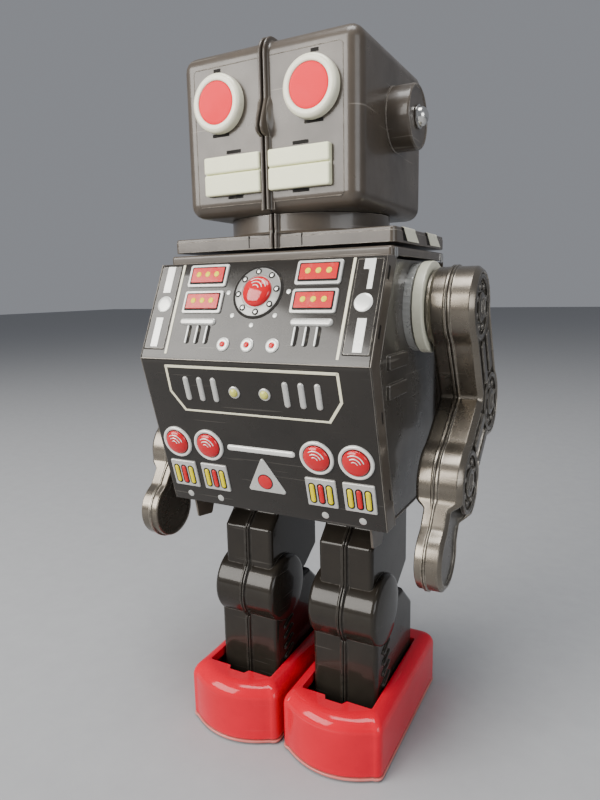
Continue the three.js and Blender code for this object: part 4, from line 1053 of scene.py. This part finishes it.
def trace_arm(step=0.6, spacing=1.0):
    """The closed outline of the arm, anticlockwise: evenly spaced points, and the outward normal at each."""
    y, z = np.arange(-48, 48, step), np.arange(78, 216, step)
    field = arm_distance(y[None, :], z[:, None])
    inside = field < 0
    # Marching squares: each cell edge that the outline crosses gets one point, and cells link their points.
    points, links = {}, {}
    for i in range(len(z) - 1):
        for j in range(len(y) - 1):
            square = ((i, j), (i, j + 1), (i + 1, j + 1), (i + 1, j))
            keys = []
            for p, q in zip(square, square[1:] + square[:1]):
                if inside[p] != inside[q]:
                    p, q = min(p, q), max(p, q)
                    t = field[p] / (field[p] - field[q])
                    points[p, q] = (y[p[1]] + (q[1] - p[1]) * step * t, z[p[0]] + (q[0] - p[0]) * step * t)
                    keys.append((p, q))
            for key in keys:
                links.setdefault(key, []).extend(k for k in keys if k != key)
    here = next(iter(points))
    chain = {}
    while here is not None:
        chain[here] = points[here]
        here = next((k for k in links[here] if k not in chain), None)
    loop = np.array(list(chain.values()))
    ahead = np.roll(loop, -1, 0)
    if np.sum(loop[:, 0] * ahead[:, 1] - ahead[:, 0] * loop[:, 1]) < 0:
        loop = loop[::-1]
    closed = np.vstack([loop, loop[:1]])
    travelled = np.concatenate([[0], np.cumsum(np.hypot(*np.diff(closed, axis=0).T))])
    wanted = np.linspace(0, travelled[-1], int(travelled[-1] / spacing), endpoint=False)
    even = np.stack([np.interp(wanted, travelled, closed[:, k]) for k in (0, 1)])
    nudge = 0.05
    slope = np.stack([arm_distance(even[0] + nudge, even[1]) - arm_distance(even[0] - nudge, even[1]),
                      arm_distance(even[0], even[1] + nudge) - arm_distance(even[0], even[1] - nudge)])
    return even.T, (slope / np.hypot(*slope)).T


def arm_section(bm, contour, normals, profile, hand_half, caps):
    """A profile of (x, outwards) carried round the outline.

    The hand is thinner: it reaches hand_half from the seam where the rest reaches full_half."""
    full_half = 10.5
    (wrist_y, wrist_z, wrist_r), (hand_y, hand_z, _) = ARM_DISCS[2:]
    towards = Vector((hand_y - wrist_y, hand_z - wrist_z)).normalized()
    beyond = (contour[:, 0] - wrist_y) * towards.x + (contour[:, 1] - wrist_z) * towards.y - wrist_r * 0.72
    thin = np.clip(beyond / 4.0, 0, 1)
    thin = thin * thin * (3 - 2 * thin)
    rings = []
    for x, out in profile:
        squeeze = 1 + thin * (min(hand_half / full_half, 1) - 1)
        at = ARM_SEAM + (x - ARM_SEAM) * squeeze
        places = zip(at, contour + normals * out)
        rings.append([(px, py, pz) for px, (py, pz) in places])
    loft(bm, rings, caps)


def arm_relief(bm):
    """On the outer face: a ridge, a hub, bumps and two bars on each disc, and two bars on each link."""
    for y, z, r in ARM_DISCS[:3]:
        to = along_x(ARM_FACE_X, y, z)
        ridge = [(0.80, -0.1), (0.80, 1.2), (0.765, 1.6), (0.72, 1.6), (0.685, 1.2), (0.685, -0.1)]
        lathe(bm, to, [(r * share, w) for share, w in (*ridge, ridge[0])], 56)
        hub = [(0, -0.1), (0.36, -0.1), (0.36, 1.2), (0.32, 1.6), (0.24, 1.6), (0.21, 1.1), (0, 1.1)]
        lathe(bm, to, [(r * share, w) for share, w in hub], 40)
        knob = r * 0.09
        for u, v in around(8, r * 0.525, 0.5):
            profile = [(0, -0.1), (knob, -0.1), (knob, 0.8), (knob * 0.7, 1.3), (0, 1.5)]
            lathe(bm, moved(to, u, v), profile, 16)
        for u in (-r * 0.07, r * 0.07):
            pill(bm, moved(to, u), -r * 0.045, r * 0.045, -r * 0.16, r * 0.16, 1.6, -0.4)
    for a, b, span in zip(ARM_DISCS[:2], ARM_DISCS[1:3], (9.5, 9.0)):
        link = along_x(ARM_FACE_X, (a[0] + b[0]) / 2, (a[1] + b[1]) / 2)
        link = moved(link, turn=math.atan2(b[1] - a[1], b[0] - a[0]))
        for v in (-4.4, 4.4):
            stack(bm, moved(link, 0, v), rectangle(-span, span, -2.2, 2.2), 0.5,
                  [(-0.1, 0), (1.2, 0), (1.6, 0.4)], steps=3)


def build_arm(side):
    contour, normals = trace_arm()
    body = f"arm_{side}"
    bead, wall, inner_hand, outer_hand = 0.6, -0.1, 5.2, 6.6
    flange = [(0.12, -2.0), (0.12, bead - 0.2), (0.4, bead), (0.95, bead), (1.3, bead - 0.3),
              (1.45, wall + 0.1), (1.8, wall)]
    inner = [(ARM_SEAM - x, out) for x, out in flange]
    inner += [(58.6, wall), (57.8, wall - 0.2), (57.25, wall - 0.7), (57.0, wall - 1.5), (57.0, -3.2),
              (57.5, -3.8)]
    outer = [(ARM_SEAM + x, out) for x, out in flange]
    outer += [(72.6, wall), (73.1, wall - 0.12), (74.7, wall - 1.5), (74.9, wall - 1.9), (74.9, wall - 2.4),
              (74.4, wall - 2.8)]
    bm = bmesh.new()
    arm_section(bm, contour, normals, inner, inner_hand, (True, True))
    boss = [(0, 55.95), (14.4, 55.95), (15.0, 56.4), (15.0, 57.6), (0, 57.6)]
    lathe(bm, along_x(0, *ARM_DISCS[0][:2]), boss, 64)
    piece("arm_half_inner", bm, ARM, side, ["arm_inner"], body)
    bm = bmesh.new()
    arm_section(bm, contour, normals, outer, outer_hand, (True, False))
    piece("arm_half_outer", bm, ARM, side, ["arm_outer"], body)
    # The dark outer face, sunk a little inside its rim.
    bm = bmesh.new()
    face = [(74.4, wall - 2.75), (73.5, wall - 3.0), (73.4, wall - 3.9)]
    arm_section(bm, contour, normals, face, outer_hand, (False, True))
    arm_relief(bm)
    piece("arm_face", bm, ARM_FACE, side, body=body)


# ------------------------------------------------------------------ legs and boots
def leg_seam(bm, outwards, line, proud):
    """The flange along a line of ((y, z), outward direction) points."""
    profile = [(0.15, -0.8), (0.15, proud - 0.3), (0.28, proud - 0.08), (0.5, proud), (0.85, proud - 0.02),
               (1.1, proud - 0.25), (1.2, proud - 0.6), (1.3, 0.25), (1.8, 0.0), (2.4, -0.3)]
    rail(bm, [(*point, 0) for point in line], [(LEG_X + outwards * x, out) for x, out in profile])


def seam_lines():
    """The lines of the leg's front seam, which goes round the knee, and of its rear seam."""
    front = [((-23, z), (-1, 0)) for z in (8.2, 30, 48)]
    for angle in range(-46, 47, 8):
        out = (-math.cos(math.radians(angle)), math.sin(math.radians(angle)))
        front.append(((KNEE_Y + KNEE_R * out[0], KNEE_Z + KNEE_R * out[1]), out))
    front += [((-21.5, 76), (-1, 0)), ((-21.5, 92.4), (-1, 0.15)), ((-19.3, 95.0), (-0.75, 0.66)),
              ((-15.4, 98.4), (-0.8, 0.6)), ((-15, 101), (-1, 0)), ((-15, 136), (-1, 0))]
    rear = [((25, 8.2), (1, 0)), ((25, 49), (1, 0.1)), ((24.2, 51), (0.8, 0.6)), ((13.4, 61), (0.7, 0.7)),
            ((12.6, 62), (1, 0)), ((13.4, 63), (0.6, -0.75)), ((24.2, 69.4), (0.8, -0.6)),
            ((25, 71), (1, -0.1)), ((25, 99), (1, 0.2)), ((24, 101), (0.6, 0.8)),
            ((17.6, 105.6), (0.6, 0.8)), ((17, 107), (1, 0)), ((17, 136), (1, 0))]
    return front, rear


def build_leg(side):
    front, rear = seam_lines()
    for name, outwards in (("outer", 1), ("inner", -1)):
        bm = bmesh.new()
        for points, reach, edge in ((THIGH, THIGH_HALF, 2.0), (SHIN, LEG_HALF, 2.2)):
            stations = [(0.15, 0.6), (0.15, 0.0)] + rounding(reach, edge, 1)
            stack(bm, along_leg(outwards), points, 2.2, stations)
        # Knee: a drum with a boss on its side.
        drum = [(0, 0.15), (KNEE_R - 0.4, 0.15), (KNEE_R, 0.5)]
        drum += [(KNEE_R - 2.6 + 2.6 * math.cos(t), 13.6 + 2.4 * math.sin(t)) for t in quarter(6)]
        drum += [(11.5, 16.4), (8.5, 16.75), (5.0, 16.95), (0, 17.0)]
        lathe(bm, along_leg(outwards, 0, KNEE_Y, KNEE_Z), drum, 72)
        leg_seam(bm, outwards, front, 1.2)
        leg_seam(bm, outwards, rear, 1.0)
        # Slanting louvres low on the side.
        for k in range(4):
            place = moved(along_leg(outwards, LEG_HALF), -12.0, 29.5 + k * 5.2, math.radians(24))
            pill(bm, place, -4.6, 4.6, -1.1, 1.1, 0.9)
        piece(f"leg_{name}_pressing", bm, LEG, side, [f"leg_{name}"], f"leg_{side}")


def boot_outline(x1, y0, y1, radius, bulge=0.0, notch_half=4.0, notch_depth=0.0):
    """An outline about the leg's middle, always of the same count of points. Its front bulges or is notched."""
    steps, slope = 24, 0.7
    points = []
    for k in range(steps + 1):
        t = k / steps
        x = (x1 - radius) * (2 * t - 1)
        notched = max(0.0, min(1.0, (notch_half + slope - abs(x)) / slope))
        points.append((x, y0 - bulge * 4 * t * (1 - t) - notch_depth * notched))
    across, along = x1 - radius, y1 - y0 - 2 * radius
    points += arc(across, y0 + radius, radius, -90, 0)[1:]
    points += [(x1, y0 + radius + along * k / 12) for k in range(1, 13)]
    points += arc(across, y1 - radius, radius, 0, 90)[1:]
    points += [(across * (1 - k / 4), y1) for k in range(1, 9)]
    points += arc(-across, y1 - radius, radius, 90, 180)[1:]
    points += [(-x1, y1 - radius - along * k / 12) for k in range(1, 13)]
    points += arc(-across, y0 + radius, radius, 180, 270)[1:-1]
    return [(LEG_X + x, y) for x, y in points]


BOOT_HALF, BOOT_TOE, BOOT_HEEL, BOOT_BULGE = 23.4, -39.8, 39.9, 6.5
BOOT_LOW, BOOT_TOP, BOOT_EDGE = 1.0, 28.0, 6.5


def boot_ring(margin, z):
    radius = max(3.4 - margin * 0.15, 1.0)
    plan = boot_outline(BOOT_HALF - margin, BOOT_TOE + margin, BOOT_HEEL - margin, radius,
                        BOOT_BULGE * (1 - margin / 60))
    return [(x, y, z) for x, y in plan]


def mouth_ring(margin, z):
    """The opening round the leg, notched in front for the seam."""
    plan = boot_outline(16.4 + margin, -32 - margin, 27 + margin, 1.0, notch_depth=2.5)
    return [(x, y, z) for x, y in plan]


def build_boot(side):
    body = f"leg_{side}"
    bottom, top, edge = BOOT_LOW, BOOT_TOP, BOOT_EDGE
    bm = bmesh.new()
    rings = [boot_ring(1.2, bottom + 1.8), boot_ring(0.5, bottom + 1.6), boot_ring(0.25, bottom + 2.2)]
    for t in quarter(7):
        rings.append(boot_ring(0.2 + edge * (1 - math.cos(t)) * 0.92, top - edge + edge * math.sin(t)))
    for margin, down in ((0.25, 0), (0.0, 0.25), (0.0, 3.8), (0.5, 3.8)):
        rings.append(mouth_ring(margin, top - down))
    loft(bm, rings)
    piece("boot_pressing", bm, RED, side, ["boot"], body, sharp=50)
    bm = bmesh.new()
    bead = [(0.55, 0), (0.15, 0.08), (0.0, 0.4), (0.0, 0.75), (0.2, 1.05), (0.9, 1.1), (1.1, 0.6),
            (0.9, 0.1)]
    loft(bm, [boot_ring(margin, bottom + rise) for margin, rise in bead], path_closed=True)
    piece("boot_rim", bm, RIM, side, body=body)


def build_sole(side):
    """The sole plate with its ribs and axle brackets, and the rollers."""
    bm = bmesh.new()
    plan = boot_outline(BOOT_HALF - 1.3, BOOT_TOE + 1.3, BOOT_HEEL - 1.3, 2.6, BOOT_BULGE)
    loft(bm, [[(x, y, z) for x, y in plan] for z in (2.2, 2.7)], (True, True))
    for y in (-6, 4, 14):
        pill(bm, along_down(LEG_X, y, 2.2), -9, 9, -1.5, 1.5, 0.6, 0)
    for y in WHEELS.values():
        for x in (3.6 - WHEEL_X, WHEEL_X - 3.6):
            bracket = [(-3, 2.4), (3, 2.4), (3, 6), (1.2, 7.6), (-1.2, 7.6), (-3, 6)]
            stack(bm, along_x(LEG_X + x, y, 0), bracket, 0.5, [(-0.5, 0), (0.5, 0)])
    piece("sole_plate", bm, STEEL, side, ["sole"], f"leg_{side}")
    for end, y in WHEELS.items():
        bm = bmesh.new()
        for x in (-WHEEL_X, WHEEL_X):
            tyre = [(1.15, -2), (4.1, -2), (4.5, -1.6), (4.6, -1), (4.6, 1), (4.5, 1.6), (4.1, 2), (1.15, 2)]
            lathe(bm, along_x(LEG_X + x, y, WHEEL_Z), [*tyre, tyre[0]], 36)
        piece(f"{end}_roller_tyres", bm, RUBBER, side, [f"{end}_rollers"], f"{end}_rollers_{side}")
        bm = bmesh.new()
        axle = [(0, -15.5), (1.0, -15.5), (1.2, -15.2), (1.2, 15.2), (1.0, 15.5), (0, 15.5)]
        lathe(bm, along_x(LEG_X, y, WHEEL_Z), axle, 24)
        piece(f"{end}_roller_axle", bm, STEEL, side, body=f"{end}_rollers_{side}")


# ------------------------------------------------------------------ everything
for side_name in ("left", "right"):
    for build in (build_head, build_eye, build_mouth, build_ear, build_neck, build_side_panel, build_ring,
                  build_arm, build_leg, build_boot, build_sole):
        build(side_name)
for build in (build_cap, build_front_panel, build_panel_art, build_back, build_base):
    build()

# The parts inside keep their CAD shapes.
INSIDE = (
    (STEEL, ("shoulder_axle", "gearbox_plate_left", "gearbox_plate_right", "crank_shaft", "crank_disc_left",
             "crank_disc_right")),
    (CAN, ("motor",)),
    (BRASS, ("motor_pinion", "battery_bridge", "battery_contact_left", "battery_contact_right")),
    (PLASTIC, ("first_idler_gear", "second_idler_gear", "crank_gear", "battery_bay", "switch_body")),
    (JACKET, ("battery_cell_left", "battery_cell_right")),
)
for inside_material, node_names in INSIDE:
    for node_name in node_names:
        mesh_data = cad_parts[node_name].data
        mesh_data.materials.clear()
        mesh_data.materials.append(inside_material)

# ------------------------------------------------------------------ floor, light and camera
floor_bm = bmesh.new()
bmesh.ops.create_grid(floor_bm, x_segments=4, y_segments=4, size=6)
floor_mesh = bpy.data.meshes.new("floor")
floor_bm.to_mesh(floor_mesh)
floor_bm.free()
floor_mesh.materials.append(PAPER)
floor = bpy.data.objects.new("floor", floor_mesh)
bpy.context.scene.collection.objects.link(floor)

world = bpy.data.worlds.new("studio")
bpy.context.scene.world = world
world.use_nodes = True
sky = world.node_tree.nodes["Background"]
feed(world.node_tree, sky, {"Color": (0.55, 0.57, 0.62, 1), "Strength": 0.45})


def area_light(name, place, height, size, power, colour=(1, 1, 1)):
    """A rectangular light that faces the robot's axis at a height."""
    data = bpy.data.lights.new(name, "AREA")
    data.shape = "RECTANGLE"
    data.size, data.size_y = size
    data.energy = power
    data.color = colour
    light = bpy.data.objects.new(name, data)
    bpy.context.scene.collection.objects.link(light)
    light.location = place
    light.rotation_euler = (Vector((0, 0, height)) - Vector(place)).to_track_quat("-Z", "Y").to_euler()


area_light("softbox", (-0.70, -1.05, 0.70), 0.17, (1.1, 0.85), 32, (1.0, 0.97, 0.92))
area_light("overhead", (0.05, -0.25, 1.4), 0.15, (0.8, 0.6), 17)
area_light("fill", (1.3, -0.7, 0.5), 0.15, (0.9, 0.7), 7.5, (0.96, 0.98, 1.0))

# The camera was solved from the straight edges in the photo.
CAMERA_PLACE = (125.27, -248.74, 200.83)
YAW, PITCH, ROLL = math.radians(28.0), math.radians(-10.10), math.radians(-1.16)
camera_data = bpy.data.cameras.new("camera")
camera_data.lens = 27.74
camera_data.sensor_width = 36
camera_data.sensor_fit = "AUTO"
camera = bpy.data.objects.new("camera", camera_data)
bpy.context.scene.collection.objects.link(camera)
upright = Matrix.Rotation(YAW, 4, "Z") @ Matrix.Rotation(PITCH + math.pi / 2, 4, "X")
place = (Vector(CAMERA_PLACE) + Vector((0, AXLE_Y, 0))) * MM
camera.matrix_world = Matrix.Translation(place) @ upright @ Matrix.Rotation(ROLL, 4, "Z")
bpy.context.scene.camera = camera
